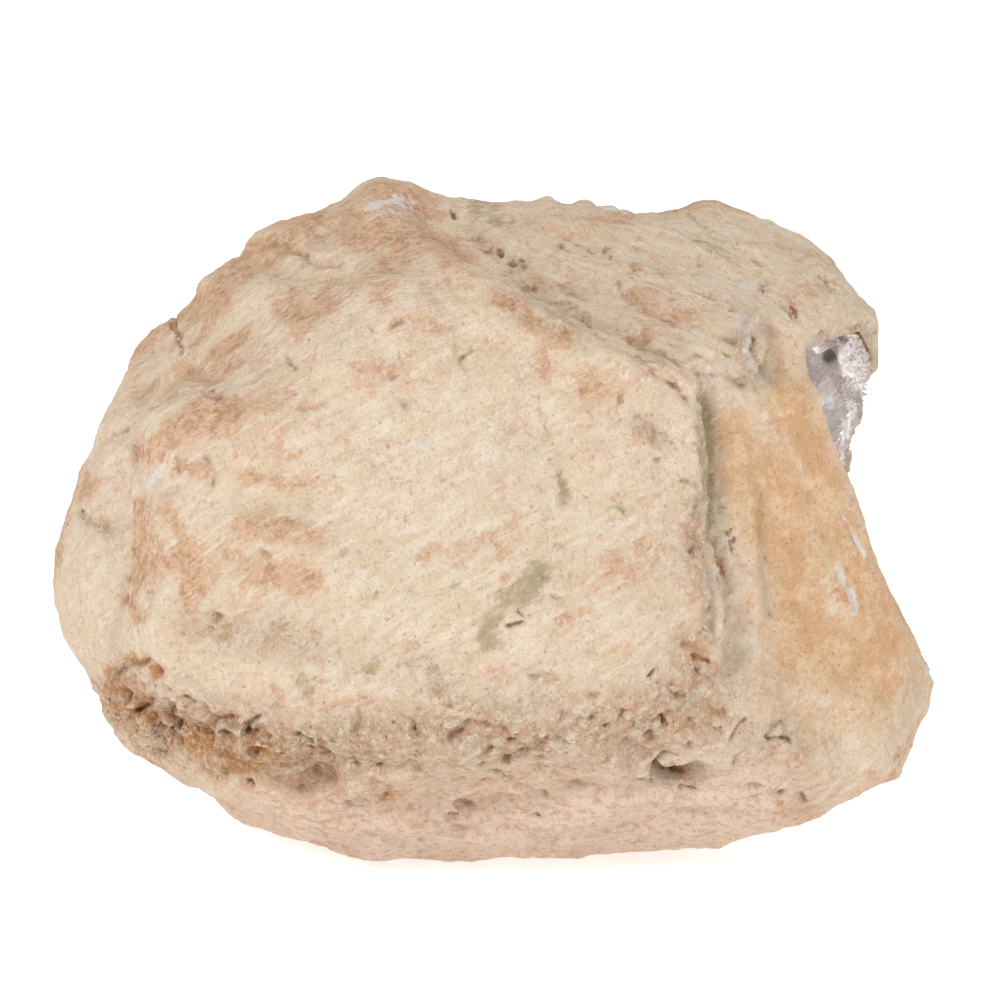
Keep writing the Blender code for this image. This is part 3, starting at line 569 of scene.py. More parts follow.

# %% [markdown]
# ### Stains and chalk
#
# Weathering leaves a patchwork on limestone: orange-brown skin, bare cream chalk, white crust,
# grey-green algae, rust and dirt. The dirt strokes carry painted shade too: they darken pits and
# cracks, the valley behind the ridge and the shadows under ledges. Each is a number on every
# vertex. Broad noise gives the patchwork everywhere, and strokes place the patches that the front
# is known by. The second number of these rows is a strength, up to 1. The material sharpens the
# edges later.

# %% Strokes of colour
STAINS = {
    "tan": [
        (60, 0.42, 220, 290, 300, 250, 390, 230), (60, 0.3, 190, 400, 260, 420, 330, 380),
        (46, 0.36, 170, 560, 240, 560, 290, 570), (50, 0.22, 420, 340, 520, 380, 620, 410),
        (40, 0.3, 560, 250, 640, 270, 720, 300), (40, 0.18, 640, 480, 650, 600),
        (30, 0.3, 200, 750, 320, 790, 440, 800, 560, 790),
        (30, 0.55, 170, 330, 210, 300, 250, 262, 300, 230, 350, 222),
        (24, 0.6, 350, 236, 390, 238, 430, 246, 450, 258), (16, 0.6, 385, 188, 420, 200, 440, 216),
        (22, 0.6, 290, 310, 310, 330, 330, 300), (20, 0.45, 330, 280, 360, 270, 380, 290),
        (9, 0.75, 192, 346, 208, 332), (9, 0.8, 190, 372, 208, 358, 226, 346, 246, 332),
        (12, 0.6, 208, 378, 232, 366), (12, 0.55, 130, 350, 146, 340, 160, 330),
        (16, 0.85, 160, 440, 190, 420, 214, 412), (14, 0.75, 148, 452, 160, 446),
        (14, 0.5, 196, 468, 206, 474), (8, 0.65, 74, 470, 66, 500, 58, 540, 52, 580),
        (10, 0.55, 90, 480, 78, 496), (9, 0.8, 142, 505, 141, 530, 138, 560, 130, 600, 140, 620),
        (9, 0.6, 170, 510, 186, 540, 188, 570, 186, 610), (18, 0.65, 250, 530, 290, 532, 316, 540),
        (20, 0.65, 250, 570, 280, 575, 310, 580), (9, 0.5, 226, 540, 234, 560),
        (9, 0.45, 240, 478, 290, 484, 330, 478), (9, 0.4, 356, 366, 392, 370),
        (8, 0.45, 432, 320, 448, 330), (9, 0.4, 340, 440, 360, 460),
        (14, 0.35, 420, 560, 470, 545, 510, 530), (10, 0.35, 410, 490, 424, 484),
        (8, 0.35, 500, 482, 530, 480), (12, 0.45, 500, 300, 530, 318, 560, 332),
        (12, 0.4, 600, 370, 620, 392), (16, 0.35, 590, 230, 640, 218),
        (12, 0.45, 640, 204, 700, 208, 740, 206), (12, 0.35, 620, 292, 680, 312, 730, 320),
        (26, 0.4, 580, 590, 610, 580), (16, 0.5, 560, 610, 556, 618), (14, 0.35, 640, 540, 650, 560),
        (30, 0.45, 280, 770, 310, 780), (12, 0.6, 200, 740, 228, 752), (14, 0.5, 320, 848, 350, 856),
        (12, 0.45, 780, 815, 820, 812), (14, 0.5, 896, 752, 912, 738, 922, 722),
        (16, 0.4, 860, 790, 880, 775),
    ],
    "fan": [
        (30, 1, 735, 430, 745, 480, 760, 530), (40, 1, 780, 470, 790, 540, 800, 600, 800, 660),
        (34, 1, 790, 400, 820, 480, 860, 580, 890, 640), (44, 1, 800, 640, 850, 660, 880, 680),
        (30, 0.6, 770, 700, 830, 720, 880, 720), (20, 0.7, 775, 340, 785, 380),
    ],
    "cream": [
        (11, 0.8, 240, 312, 252, 296, 262, 284), (6, 0.8, 196, 362, 212, 344, 224, 326, 240, 318),
        (6, 0.7, 262, 300, 262, 330), (7, 0.6, 150, 380, 166, 350, 172, 338),
        (10, 0.6, 182, 350, 186, 330), (16, 0.6, 222, 464, 236, 462), (12, 0.6, 206, 492, 222, 496),
        (24, 0.9, 90, 540, 96, 570, 110, 600), (14, 0.9, 112, 470, 120, 510, 112, 560),
        (8, 0.8, 160, 560, 172, 540), (10, 0.8, 150, 638, 166, 600, 180, 580),
        (5, 0.6, 250, 548, 290, 546, 320, 556), (26, 0.8, 336, 560, 350, 580, 340, 610),
        (90, 0.55, 400, 480, 480, 460, 420, 520), (24, 0.5, 330, 250, 346, 256),
        (14, 0.6, 430, 262, 450, 268), (18, 0.55, 480, 316, 520, 330), (16, 0.5, 330, 330, 360, 340),
        (20, 0.55, 640, 236, 690, 250), (20, 0.45, 690, 280, 730, 290), (16, 0.6, 700, 340, 740, 366),
        (30, 0.4, 600, 440, 620, 470), (30, 0.4, 540, 640, 600, 640), (20, 0.6, 400, 716, 460, 706),
        (20, 0.6, 560, 720, 580, 740), (12, 0.6, 190, 715, 215, 740),
    ],
    "white": [
        (5, 0.85, 366, 206, 378, 200, 396, 198, 412, 203), (4, 0.7, 378, 211, 390, 210),
        (2.6, 0.8, 173, 312, 178, 311), (3, 0.6, 200, 284, 206, 280), (2.4, 0.6, 226, 273, 230, 272),
        (2.4, 0.5, 206, 300, 208, 301), (7, 0.85, 149, 486, 160, 480, 167, 466),
        (3, 0.6, 136, 448, 138, 464), (3, 0.7, 88, 461, 98, 457), (3, 0.5, 160, 416, 170, 412),
        (3, 0.45, 174, 398, 184, 395), (3, 0.55, 340, 312, 356, 310), (5, 0.45, 368, 346, 370, 354),
        (5, 0.45, 424, 330, 434, 324), (3, 0.55, 432, 288, 450, 283),
        (6, 0.7, 408, 442, 420, 450, 430, 444), (3, 0.5, 428, 421, 434, 418),
        (4, 0.7, 600, 207, 612, 211, 622, 213), (7, 0.55, 742, 282, 752, 286),
        # The first strokes of this row and the next, on the edge over the fan, are partly light crust
        # and partly a painted highlight on that crest.
        (8, 0.8, 744, 318, 742, 340, 748, 362, 756, 376), (9, 0.5, 372, 214, 396, 216, 412, 212),
        (4.5, 0.9, 756, 320, 746, 334, 746, 350, 751, 366, 757, 378), (6, 0.5, 720, 352, 740, 364),
        (5, 0.75, 704, 368, 708, 380, 706, 394), (5, 0.45, 674, 404, 684, 410),
        (6, 0.55, 686, 504, 690, 512), (6, 0.6, 686, 548, 694, 560), (3.5, 0.8, 704, 570, 708, 592),
        (3, 0.85, 705, 600, 708, 620, 708, 640), (1.6, 0.9, 842, 512, 848, 527, 850, 538),
        (2.8, 1, 850, 540, 856, 548, 863, 558), (3.2, 1, 836, 564, 840, 574, 846, 587),
        (5, 1, 853, 592, 857, 602, 856, 612), (1.5, 0.6, 786, 440, 791, 450),
        (1.5, 0.6, 799, 458, 803, 474), (7, 1, 566, 734, 574, 733), (4, 0.55, 448, 742, 452, 748),
        (4, 0.5, 388, 730, 394, 732), (4, 0.5, 600, 530, 608, 534), (4, 0.45, 274, 644, 276, 660),
        (3.5, 0.5, 372, 652, 378, 648), (4, 0.5, 234, 539, 242, 534), (3, 0.5, 290, 558, 294, 562),
        (5, 0.7, 926, 668, 932, 676), (3, 0.6, 916, 730, 919, 722), (3, 0.6, 833, 786, 836, 790),
        (8, 0.4, 720, 696, 736, 700), (8, 0.35, 566, 500, 580, 540),
    ],
    "grey": [
        (16, 0.75, 536, 574, 526, 592, 508, 606, 494, 622, 488, 640), (12, 0.6, 216, 618, 234, 626),
        (12, 0.45, 280, 618, 290, 634), (8, 0.6, 300, 676, 306, 692),
        (7, 0.55, 558, 468, 562, 484, 565, 496), (10, 0.75, 706, 400, 708, 450, 710, 500, 706, 530),
        (8, 0.45, 712, 540, 716, 580), (14, 0.35, 545, 520, 556, 548), (14, 0.4, 340, 676, 370, 660),
        (20, 0.4, 420, 660, 440, 690), (16, 0.35, 540, 676, 530, 690), (12, 0.5, 610, 512, 622, 510),
        (10, 0.45, 646, 428, 656, 446), (20, 0.55, 480, 200, 500, 214), (12, 0.5, 590, 320, 610, 332),
        (16, 0.5, 640, 350, 670, 362), (16, 0.45, 700, 240, 740, 262), (16, 0.4, 800, 260, 820, 280),
        (10, 0.4, 366, 602, 376, 592), (14, 0.25, 170, 640, 200, 660, 240, 680),
    ],
    # Dirt and painted shade: these strokes darken pits and cracks, the valley behind the ridge, and the
    # shadows under ledges, under the shoulder fold and in the pocket.
    "dirt_and_shade": [
        (3, 0.9, 80, 508, 84, 517), (5, 0.5, 92, 519, 104, 530),
        (4, 0.55, 262, 248, 280, 245, 300, 248, 316, 258), (5, 0.5, 180, 392, 196, 387, 212, 391),
        (2.2, 0.7, 175, 322, 178, 342), (2.2, 0.8, 235, 267, 238, 267), (3, 0.9, 452, 211, 456, 214),
        (14, 0.45, 440, 212, 470, 236, 500, 262), (10, 0.55, 500, 258, 530, 286, 560, 304, 590, 322),
        (2.6, 0.9, 521, 261, 525, 262), (2.4, 0.8, 496, 246, 499, 248), (2, 0.9, 561, 239, 563, 240),
        (1.8, 0.8, 586, 247, 592, 255, 600, 249, 608, 244, 611, 250, 613, 260),
        (3, 0.55, 620, 280, 622, 290), (6, 0.4, 604, 346, 640, 360, 664, 372),
        (5, 0.6, 672, 380, 688, 396), (2.2, 0.9, 789, 306, 793, 314, 797, 320),
        (2.6, 0.7, 762, 281, 766, 287), (2, 0.7, 731, 311, 735, 309), (3, 0.5, 700, 222, 716, 236),
        (2, 0.8, 620, 403, 624, 395), (2, 0.7, 543, 420, 547, 430, 542, 441),
        (1.6, 0.9, 464, 356, 470, 350), (2, 0.6, 402, 400, 405, 408),
        (1.6, 0.7, 679, 480, 688, 483, 696, 485), (2, 0.8, 622, 508, 624, 514),
        (1.8, 0.9, 728, 532, 731, 535), (1.8, 0.9, 733, 543, 734, 551), (2.2, 1, 510, 625, 521, 624),
        (3, 0.5, 519, 612, 522, 618), (3, 0.5, 542, 574, 543, 577), (3, 0.7, 212, 616, 220, 617),
        (3, 0.7, 115, 678, 124, 668, 136, 664), (5, 0.8, 134, 712, 148, 703),
        (8, 0.7, 152, 720, 160, 734, 168, 742), (3, 0.8, 172, 708, 175, 726),
        (3, 0.8, 180, 702, 187, 706), (3, 0.8, 246, 723, 243, 737), (2.6, 0.7, 216, 717, 232, 718),
        (3, 0.8, 298, 739, 310, 742), (2.6, 0.9, 248, 782, 251, 784), (2.6, 0.8, 221, 773, 227, 774),
        (5, 0.6, 350, 806, 364, 804), (5, 0.55, 374, 798, 386, 796), (2.2, 0.8, 417, 730, 420, 733),
        (2.4, 0.7, 509, 741, 513, 740), (2, 0.8, 505, 763, 508, 759), (2.2, 0.8, 448, 818, 458, 816),
        (4, 0.6, 463, 806, 471, 807), (2, 0.7, 537, 820, 540, 821), (2.4, 1, 662, 718, 665, 724),
        (4.5, 1, 662, 770, 674, 772, 680, 774), (2.2, 0.8, 684, 787, 693, 789),
        (2.2, 0.7, 770, 736, 774, 741, 790, 741), (1.8, 0.7, 734, 763, 741, 750),
        (2, 0.6, 750, 789, 760, 791), (16, 0.4, 140, 706, 170, 732, 230, 744),
        (6, 0.6, 196, 716, 216, 728, 246, 730), (10, 0.35, 360, 790, 420, 780, 480, 780, 540, 786),
        (8, 0.35, 900, 756, 916, 734), (8, 0.4, 780, 816, 830, 806),
    ],
    "rust": [
        (26, 0.75, 118, 690, 156, 722, 220, 740, 264, 750), (9, 0.6, 112, 668, 134, 664, 156, 670),
        (12, 0.35, 300, 745, 360, 790, 420, 800), (7, 0.75, 698, 650, 706, 660),
        (10, 0.45, 680, 690, 700, 694), (6, 0.6, 612, 690, 626, 696), (5, 0.45, 590, 650, 606, 660),
        (9, 0.55, 200, 742, 226, 752), (9, 0.45, 258, 754, 274, 756), (8, 0.45, 524, 752, 540, 760),
        (4, 0.5, 792, 308, 797, 322), (4, 0.55, 463, 352, 474, 348), (5, 0.4, 722, 512, 732, 540),
        (4, 0.45, 716, 560, 726, 590), (5, 0.55, 816, 532, 826, 540),
        (6, 0.5, 836, 590, 850, 596, 862, 606), (5, 0.4, 820, 636, 832, 640),
        (5, 0.4, 770, 420, 780, 426), (5, 0.35, 360, 690, 380, 712), (4, 0.45, 390, 430, 386, 450),
        (6, 0.35, 655, 770, 690, 784), (6, 0.4, 560, 600, 556, 616), (5, 0.45, 176, 680, 150, 690),
        (7, 0.4, 140, 740, 160, 748),
    ],
    "pink": [
        (50, 0.75, 300, 820, 420, 830, 560, 830, 700, 800, 760, 790),
        (34, 0.6, 460, 780, 560, 780, 660, 760), (30, 0.5, 640, 730, 700, 740, 760, 750),
        (7, 0.9, 826, 446, 836, 460, 848, 480), (6, 0.6, 846, 480, 856, 506, 862, 530),
        (20, 0.35, 330, 290, 370, 300), (18, 0.4, 600, 372, 640, 376), (20, 0.3, 640, 490, 670, 500),
        (20, 0.3, 460, 540, 500, 500), (30, 0.4, 300, 700, 400, 740), (20, 0.25, 280, 400, 320, 420),
        (8, 0.3, 786, 522, 792, 530),
    ],
}
print(sum(len(strokes) for strokes in STAINS.values()), "strokes of colour")

# %% Stains on the vertices
STAIN_WANDER = 5.0  # pixels
points = places_of(rock)
facings = facings_of(rock)
front = towards_camera(points, facings)
lining_gap, lining_way = distance_to("quartz_crust", points)
broken = on_break(lining_gap, lining_way, facings)
places = wandering(points, loose=STAIN_WANDER)
back = 1 - front
stains = {kind: drawn(strokes, places) * front for kind, strokes in STAINS.items()}

patch = 0.5 * grains(points, 0.034, 31) + 0.45 * grains(along(points, STRATA, 2.0), 0.015, 32)
stains["tan"] = 0.26 + 0.26 * patch + 0.85 * stains["tan"] - 0.50 * stains.pop("cream") + 0.20 * back
stains["tan"] -= 0.25 * stains["fan"]
for kind, strength, size, seed, low, high in (
    ("white", 0.55, 0.016, 33, 0.75, 1.10),
    ("grey", 0.50, 0.030, 34, 0.35, 0.95),
    ("dirt_and_shade", 0.40, 0.020, 35, 0.50, 1.00),
    ("rust", 0.50, 0.014, 36, 0.70, 1.10),
):
    stains[kind] += strength * back * passed(grains(points, size, seed), low, high)
stains["pink"] += 0.45 * passed(-points[:, 2], -0.060, -0.020)
stains["crumbly"] = crumbliness(points, places, front)
stains["layered"] = drawn(ZONES["layered"], places) * front
stains["broken"] = broken
stains["rim"] = lining_gap
for name, values in stains.items():
    keep_values(rock, name, values)
    print(f"{name:8s} from {values.min():6.3f} to {values.max():6.3f}")

# %% [markdown]
# ### A way to write materials
#
# A material is a sum of small steps, so it reads best as arithmetic. One class wraps a socket, so
# that socket + 1 and 1 - socket add the Math nodes they mean, and one method makes every other
# node.

# %% Sockets that can be reckoned with


class Amount:
    """A socket that holds a number."""

    def __init__(self, finish, socket):
        self.finish = finish
        self.socket = socket

    def reckon(self, operation, *values):
        settings = {"operation": operation}
        return self.finish.node("ShaderNodeMath", settings, dict(enumerate(values)))

    def __add__(self, other):
        return self.reckon("ADD", self, other)

    def __sub__(self, other):
        return self.reckon("SUBTRACT", self, other)

    def __rsub__(self, other):
        return self.reckon("SUBTRACT", other, self)

    def __mul__(self, other):
        return self.reckon("MULTIPLY", self, other)

    __radd__ = __add__
    __rmul__ = __mul__

    def between(self, low, high):
        """0 at the low value, 1 at the high one, with an easy passage between."""
        sockets = {"Value": self, "From Min": low, "From Max": high}
        return self.finish.node("ShaderNodeMapRange", {"interpolation_type": "SMOOTHSTEP"}, sockets)


class Finish:
    """A material and its nodes."""

    def __init__(self, name):
        self.material = bpy.data.materials.new(name)
        self.material.use_nodes = True
        self.tree = self.material.node_tree
        self.surface = self.tree.nodes["Principled BSDF"]

    def node(self, kind, settings, sockets, out=0):
        """A new node: its settings first, then its sockets, by name or number."""
        made = self.tree.nodes.new(kind)
        for name, value in settings.items():
            setattr(made, name, value)
        for name, value in sockets.items():
            self.feed(made.inputs[name], value)
        return Amount(self, made.outputs[out])

    def feed(self, socket, value):
        """Gives a socket a value or a link."""
        if isinstance(value, Amount):
            self.tree.links.new(value.socket, socket)
        else:
            socket.default_value = value

    def fixed(self, values):
        """Sets the sockets that are the same all over the surface."""
        for name, value in values.items():
            self.surface.inputs[name].default_value = value

    def varied(self, values):
        """Gives sockets of the surface what changes over it."""
        for name, value in values.items():
            self.feed(self.surface.inputs[name], value)

    def kept(self, name):
        """The number that each vertex keeps under this name."""
        return self.node("ShaderNodeAttribute", {"attribute_name": name}, {}, out="Fac")

    def place(self, stretch=(1, 1, 1), turn=(0, 0, 0)):
        """The place on the piece, turned and stretched."""
        here = self.node("ShaderNodeTexCoord", {}, {}, out="Object")
        return self.node("ShaderNodeMapping", {"vector_type": "TEXTURE"},
                         {"Vector": here, "Rotation": turn, "Scale": stretch})

    def noise(self, place, size, detail=2.0, roughness=0.5):
        """Soft noise from 0 to 1, with grains of this size in metres."""
        sockets = {"Vector": place, "Scale": 1 / size, "Detail": detail, "Roughness": roughness}
        return self.node("ShaderNodeTexNoise", {}, sockets)

    def cracks(self, place, size):
        """The distance to the nearest of many scattered points this far apart."""
        return self.node("ShaderNodeTexVoronoi", {}, {"Vector": place, "Scale": 1 / size})

    def mix(self, share, first, second, blend="MIX"):
        """A colour between two others."""
        settings = {"data_type": "RGBA", "blend_type": blend}
        return self.node("ShaderNodeMix", settings, {0: share, 6: first, 7: second}, out=2)

    def bump(self, height, distance, strength, under=None):
        """A normal that follows a height, in metres."""
        sockets = {"Height": height, "Distance": distance, "Strength": strength}
        if under is not None:
            sockets["Normal"] = under
        return self.node("ShaderNodeBump", {}, sockets)


def colour(red, green, blue):
    """A colour from its screen values, 0 to 255, in the linear values that nodes work with."""
    shares = np.array((red, green, blue)) / 255
    linear = np.where(shares <= 0.04045, shares / 12.92, ((shares + 0.055) / 1.055) ** 2.4)
    return (*linear.tolist(), 1.0)


# %% [markdown]
# ### The finish of the rock
#
# Layers of colour lie over each other, mostly as they do on the stone: chalk first, then the brown
# skin with ragged edges, then stains, crust and crumbs, with painted shade in the gaps between the
# crumbs, then dirt mixed with painted shade in pits, cracks and under ledges. Last, painted shade
# darkens the hollows and a painted highlight lightens the ridges. Noise shifts each edge, so that
# a patch has frayed outlines down to half a millimetre.

# %% Limestone
STREAK_TURN = (0.0, math.radians(-32), 0.0)
STRATA_TURN = (0.0, DIP, 0.0)


def limestone():
    """Weathered limestone, from the numbers on the vertices and noise."""
    finish = Finish("limestone")
    here = finish.place()
    coarse = finish.noise(here, 0.0100, detail=5.0, roughness=0.66)
    middling = finish.noise(here, 0.0034, detail=6.0, roughness=0.70)
    fine = finish.noise(here, 0.0010, detail=4.0, roughness=0.72)
    streaked = finish.place(stretch=(4.5, 1.0, 1.0), turn=STREAK_TURN)
    streaks = finish.noise(streaked, 0.0026, detail=5.0, roughness=0.66)
    bedded = finish.place(stretch=(6.0, 2.0, 1.0), turn=STRATA_TURN)
    strata = finish.noise(bedded, 0.0024, detail=5.0, roughness=0.66)
    layered = finish.kept("layered")
    grain = streaks * (1 - layered) + strata * layered
    fray = (coarse - 0.5) * 1.3 + (middling - 0.5) * 0.9 + (grain - 0.5) * 1.0

    def ragged(name, low, high, share=1.0):
        """A stain's strength, with a frayed edge."""
        return (finish.kept(name) + fray * share).between(low, high)

    skin = finish.mix(coarse.between(0.38, 0.62), colour(234, 212, 182), colour(242, 226, 206))
    skin = finish.mix(grain.between(0.50, 0.62) * 0.45, skin, colour(226, 194, 164))
    skin = finish.mix(grain.between(0.46, 0.36) * 0.45, skin, colour(250, 238, 220))
    brown = finish.mix(middling.between(0.42, 0.58), colour(192, 138, 98), colour(226, 180, 142))
    brown = finish.mix(grain.between(0.54, 0.58) * 0.50, brown, colour(248, 222, 194))
    skin = finish.mix(coarse.between(0.54, 0.66) * 0.40, skin, colour(226, 192, 164))
    skin = finish.mix(coarse.between(0.46, 0.38) * 0.30, skin, colour(236, 220, 194))
    skin = finish.mix(ragged("tan", 0.15, 0.85) * 0.50, skin, brown)
    skin = finish.mix(ragged("tan", 0.50, 0.58, 1.3) * 0.55, skin, brown)
    ochre = finish.mix(coarse.between(0.40, 0.60), colour(216, 164, 112), colour(238, 202, 160))
    ochre = finish.mix(grain.between(0.48, 0.62) * 0.6, ochre, colour(232, 180, 142))
    ochre = finish.mix(middling.between(0.54, 0.62) * 0.4, ochre, colour(206, 152, 102))
    skin = finish.mix(ragged("fan", 0.10, 1.00, 0.5) * 0.80, skin, ochre)
    rosy = finish.mix(middling.between(0.46, 0.60), colour(242, 216, 200), colour(212, 172, 144))
    for name, low, high, share, strength, stain in (
        ("pink", 0.20, 1.00, 0.8, 0.65, rosy),
        ("grey", 0.25, 0.80, 1.0, 0.75, colour(174, 156, 114)),
        ("rust", 0.20, 0.75, 1.0, 0.75, colour(204, 134, 72)),
        ("white", 0.42, 0.78, 1.0, 0.85, colour(236, 230, 226)),
    ):
        skin = finish.mix(ragged(name, low, high, share) * strength, skin, stain)

    rim = finish.kept("rim")
    fracture = finish.mix(middling.between(0.3, 0.7), colour(212, 188, 158), colour(240, 226, 206))
    fracture = finish.mix(coarse.between(0.50, 0.62) * 0.6, fracture, colour(198, 156, 116))
    band = rim + (coarse - 0.5) * 0.004
    fracture = finish.mix(1 - band.between(0.0025, 0.0050), fracture, colour(216, 192, 166))
    skin = finish.mix(finish.kept("broken").between(0.35, 0.65), skin, fracture)

    crumb = finish.kept("crumbly")
    skin = finish.mix(crumb * coarse.between(0.36, 0.58) * 0.45, skin, colour(228, 178, 124))
    granules = finish.cracks(here, 0.0024)
    skin = finish.mix(crumb * granules.between(0.45, 0.20) * 0.35, skin, colour(250, 236, 216))
    # Painted shade: each granule darkens towards its edge, in the gaps between the bumped crumbs.
    skin = finish.mix(crumb * granules.between(0.45, 0.75) * 0.42, skin, colour(190, 130, 80))
    skin = finish.mix(crumb * middling.between(0.52, 0.60) * 0.40, skin, colour(206, 154, 108))
    skin = finish.mix(crumb * middling.between(0.46, 0.38) * 0.50, skin, colour(252, 238, 222))
    specks = finish.noise(here, 0.0019, detail=2.0).between(0.66, 0.74) * (0.40 + crumb * 0.5)
    skin = finish.mix(specks, skin, colour(150, 104, 66))
    # Dirt with painted shade: dark brown in the pits, cracks and valley and under the ledges.
    skin = finish.mix(ragged("dirt_and_shade", 0.36, 0.86, 0.8) * 0.70, skin, colour(132, 86, 48))

    # Painted shade and highlight from the curvature: hollows and creases are darkened, ridges made
    # paler.
    curvature_for_painted_light = finish.node("ShaderNodeNewGeometry", {}, {}, out="Pointiness")
    skin = finish.mix(curvature_for_painted_light.between(0.49, 0.42) * 0.65, skin, colour(172, 112, 64), "MULTIPLY")
    skin = finish.mix(curvature_for_painted_light.between(0.51, 0.57) * 0.35, skin, colour(252, 240, 222))
    skin = finish.mix(middling.between(0.46, 0.32) * 0.50, skin, colour(228, 196, 166), "MULTIPLY")
    skin = finish.mix(fine.between(0.50, 0.34) * 0.45, skin, colour(222, 200, 180), "MULTIPLY")
    grit = fine * 0.6 + middling * (2.2 + crumb * 2.4) + grain * 1.0
    normal = finish.bump(grit, 0.0022, 0.90)
    normal = finish.bump(granules.between(0.6, 0.0) * crumb, 0.0010, 0.50, under=normal)
    finish.varied({"Base Color": skin, "Roughness": 0.74 + fine * 0.22, "Normal": normal})
    finish.fixed({"Specular IOR Level": 0.2})
    print("limestone uses", len(finish.tree.nodes), "nodes")
    return finish.material


rock.data.materials.clear()
rock.data.materials.append(limestone())
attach(rock, "root")
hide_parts("rock_shell")

# %% [markdown]
# ## The quartz
#
# The lining is a druse: thousands of small crystals on rounded mounds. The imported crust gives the
# mounds. It is remeshed and smoothed, thinned to an uneven net, and then each corner of the net is
# cut off, which turns the net into six-sided cells. A poke raises a point on each cell, and the
# flat faces between them catch the light as crystals do.

# %% The mounds
CRUST_VOXEL = 0.0020
CRUST_SOFTENING = 60
SLOT = [(842, 340), (835, 348), (829, 356)]  # a slot that shows in the opening, pressed in and painted dark as shade
SLOT_HALF_WIDTH = 7
SLOT_DEPTH = 7.0  # millimetres
PRESSED_IN = 0.0009  # the crust reaches this far into the rock, so that no gap shows at the rim
NET_TRIANGLES = 22000
UNEVEN = 0.0004
BY_LENGTH = 0.5  # so much that short edges go first, which keeps the net even
draw = np.random.default_rng(5)


def in_slot(points):
    """How much of the slot each point belongs to: a pit whose dark colour is painted shade."""
    return near_path(seen_at(points), SLOT, SLOT_HALF_WIDTH) * passed(points[:, 1], -0.02, -0.01)


crust = even_skin("quartz_crust_finish", "quartz_crust", CRUST_VOXEL)
points = places_of(crust)
rock_gap, rock_way = distance_to("rock_shell", points)
weigh(crust, "free", passed(rock_gap, 0.0010, 0.0040))
soften(crust, CRUST_SOFTENING, "free")
points = places_of(crust)
facings = facings_of(crust)
rock_gap, rock_way = distance_to("rock_shell", points)
grown = passed(inwards(points, facings), 0.05, 0.25)
torn = passed(facings[:, 0], 0.3, 0.6) * (1 - grown)
chips = 0.9 * (0.35 - cells(points, 0.0080, 41)) + 0.4 * grains(points, 0.0060, 42) - 0.4
lumps = 2.2 * (0.45 - cells(points, 0.0110, 43)) + 0.5 * grains(points, 0.0060, 44)
moves = torn * chips + grown * lumps - in_slot(points) * SLOT_DEPTH
points += facings * (moves * MILLIMETRE)[:, None]
points += rock_way * (passed(-rock_gap, -0.0016, -0.0009) * PRESSED_IN)[:, None]
put_places(crust, inside_box(points))
finer_at_mouth = 0.80 - 0.55 * passed(points[:, 0], 0.03, 0.09)
weigh(crust, "spare", np.where((grown > 0.5) | (torn > 0.5), finer_at_mouth, 1.0))
thin_out(crust, NET_TRIANGLES, BY_LENGTH)
points = places_of(crust)
grown = passed(inwards(points, facings_of(crust)), 0.05, 0.25)
points += draw.uniform(-UNEVEN, UNEVEN, points.shape) * grown[:, None]
put_places(crust, inside_box(points))
print("the net has", len(crust.data.polygons), "triangles")
print(round(grown.mean() * 100), "% of its corners are on the crystals' side")

# %% The crystals
CORNERS_CUT = 33
ROUNDS_OF_EVENING = 3
RIM_STARTS = 0.105
DEEP_LOOK, TALL_LOOK, SUGARY_LOOK = 0.55, 0.30, 0.08  # how squarely a place looks into the hollow
POINT_HEIGHT = (0.20, 0.75)  # of half the cell's width
BROKEN_HEIGHT = 0.35  # of that, on the broken edge of the crust
POINT_LEAN = 0.20


def faces_hollow(place, facing, least):
    """Whether a place on the crust looks into the hollow."""
    return (Vector(HOLLOW) - place).normalized().dot(facing) > least


def sugary(place, facing):
    """Whether crystals show here: on the side of the hollow, or on the broken edge."""
    return faces_hollow(place, facing, SUGARY_LOOK) or (facing.x > 0.30 and place.x > 0.05)


net = bmesh.new()
net.from_mesh(crust.data)
net.normal_update()
inner = [vertex for vertex in net.verts if sugary(vertex.co, vertex.normal)]
deep = [vertex for vertex in inner
        if faces_hollow(vertex.co, vertex.normal, DEEP_LOOK) and vertex.co.x < RIM_STARTS]
for _ in range(ROUNDS_OF_EVENING):
    bmesh.ops.smooth_vert(net, verts=deep, factor=0.5, use_axis_x=True, use_axis_y=True, use_axis_z=True)
bmesh.ops.bevel(net, geom=inner, offset=CORNERS_CUT, offset_type="PERCENT", segments=1,
                profile=0.5, affect="VERTICES", material=-1)
net.normal_update()
bases = [face for face in net.faces
         if len(face.verts) > 3 and sugary(face.calc_center_median(), face.normal)]
sizes = [2 * face.calc_area() / face.calc_perimeter() for face in bases]
heights = [1.0 if faces_hollow(face.calc_center_median(), face.normal, TALL_LOOK) else BROKEN_HEIGHT
           for face in bases]
poked = bmesh.ops.poke(net, faces=bases, center_mode="MEAN")
for tip, radius, height in zip(poked["verts"], sizes, heights):
    tip.normal_update()
    lean = Vector(draw.normal(0, POINT_LEAN * radius * height, 3))
    tip.co += lean + tip.normal * radius * height * draw.uniform(*POINT_HEIGHT)
bmesh.ops.triangulate(net, faces=[face for face in net.faces if len(face.verts) > 3])
net.to_mesh(crust.data)
net.free()
crust.data.shade_flat()
points = places_of(crust)
rock_gap, rock_way = distance_to("rock_shell", points)
keep_values(crust, "depth", rock_gap)
keep_values(crust, "slot", in_slot(points))
keep_values(crust, "lining", passed(inwards(points, facings_of(crust)), -0.05, 0.15))
print(len(sizes), "crystals,", len(crust.data.polygons), "triangles")

# %% Milky quartz


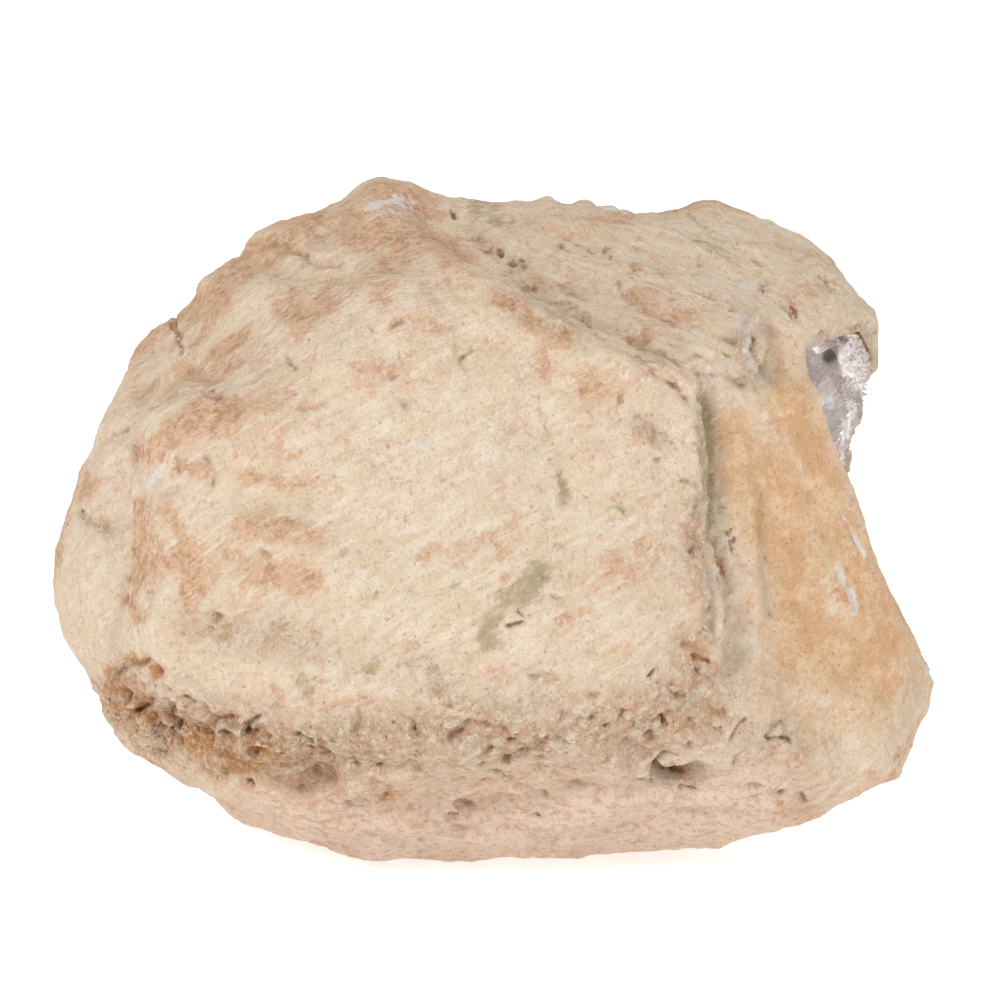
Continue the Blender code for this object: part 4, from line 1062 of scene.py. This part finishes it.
def milky_quartz():
    """Milky, greyish quartz with glossy flat faces."""
    finish = Finish("milky_quartz")
    here = finish.place()
    clouds = finish.noise(here, 0.012, detail=3.0)
    sugar = finish.noise(here, 0.0011, detail=2.0)
    body = finish.mix(clouds.between(0.38, 0.62), colour(236, 226, 221), colour(250, 244, 241))
    body = finish.mix(sugar.between(0.55, 0.75) * 0.4, body, colour(250, 247, 246))
    slot = finish.kept("slot")
    # Painted shade: the slot's pit is painted dark brown-grey.
    body = finish.mix(slot.between(0.1, 0.7) * 0.8, body, colour(132, 112, 98))
    depth = finish.kept("depth") + (clouds - 0.5) * 0.002
    rim = finish.mix(depth.between(0.0006, 0.0024), colour(172, 148, 122), colour(180, 170, 166))
    pale = finish.mix(clouds, colour(186, 176, 172), colour(212, 203, 199))
    rim = finish.mix(depth.between(0.0030, 0.0055), rim, pale)
    body = finish.mix(finish.kept("lining"), rim, body)
    finish.varied({"Base Color": body, "Roughness": 0.16 + sugar * 0.30,
                   "Normal": finish.bump(sugar, 0.0008, 0.35)})
    finish.fixed({"IOR": 1.54, "Subsurface Weight": 0.25, "Subsurface Radius": (1.0, 0.9, 0.95),
                  "Subsurface Scale": 0.0012})
    return finish.material


crust.data.materials.clear()
crust.data.materials.append(milky_quartz())
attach(crust, "root")
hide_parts("quartz_crust")

# %% [markdown]
# ## The studio
#
# The light is that of a white tent: nearly even from everywhere, a little stronger from above and
# in front. The floor is as pale as the surroundings, so the stone stands in white.

# %% Floor and light
FLOOR_SIZE = 12.0
WHITE = (1.0, 1.0, 1.0, 1.0)
TENT = 0.68
floor_mesh = bmesh.new()
bmesh.ops.create_grid(floor_mesh, x_segments=1, y_segments=1, size=FLOOR_SIZE)
floor = new_piece("floor", floor_mesh)
paper = Finish("white_paper")
paper.fixed({"Base Color": (0.90, 0.90, 0.90, 1.0), "Roughness": 0.9, "Specular IOR Level": 0.1,
             "Emission Color": WHITE, "Emission Strength": 0.60})
floor.data.materials.append(paper.material)
floor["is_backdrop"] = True

world = bpy.data.worlds.new("white tent")
world.use_nodes = True
world_nodes = world.node_tree.nodes
backdrop = world_nodes["Background"]
backdrop.inputs["Color"].default_value = WHITE
backdrop.inputs["Strength"].default_value = 1.0
tent = world_nodes.new("ShaderNodeBackground")
tent.inputs["Color"].default_value = WHITE
tent.inputs["Strength"].default_value = TENT
ray = world_nodes.new("ShaderNodeLightPath")
choice = world_nodes.new("ShaderNodeMixShader")
world.node_tree.links.new(ray.outputs["Is Camera Ray"], choice.inputs[0])
world.node_tree.links.new(tent.outputs[0], choice.inputs[1])
world.node_tree.links.new(backdrop.outputs[0], choice.inputs[2])
world.node_tree.links.new(choice.outputs[0], world_nodes["World Output"].inputs["Surface"])
bpy.context.scene.world = world


def soft_light(name, place, size, power):
    """A square light that looks at the stone."""
    light = bpy.data.objects.new(name, bpy.data.lights.new(name, "AREA"))
    light.data.size = size
    light.data.energy = power
    light.location = place
    light.rotation_euler = (Vector(place) - STONE_MIDDLE).to_track_quat("Z", "Y").to_euler()
    bpy.context.scene.collection.objects.link(light)


soft_light("key", (-0.80, -1.40, 1.10), 0.30, 20)
soft_light("side", (1.50, -0.45, 0.50), 1.40, 7)
soft_light("top", (0.20, 0.50, 1.80), 1.00, 4)
bpy.context.scene.view_settings.view_transform = "Standard"

# %% The finished size
sizes = {"cad": [list(corner) for corner in (cad_low, cad_high)],
         "visual": [list(corner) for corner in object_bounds()]}
print(sizes)
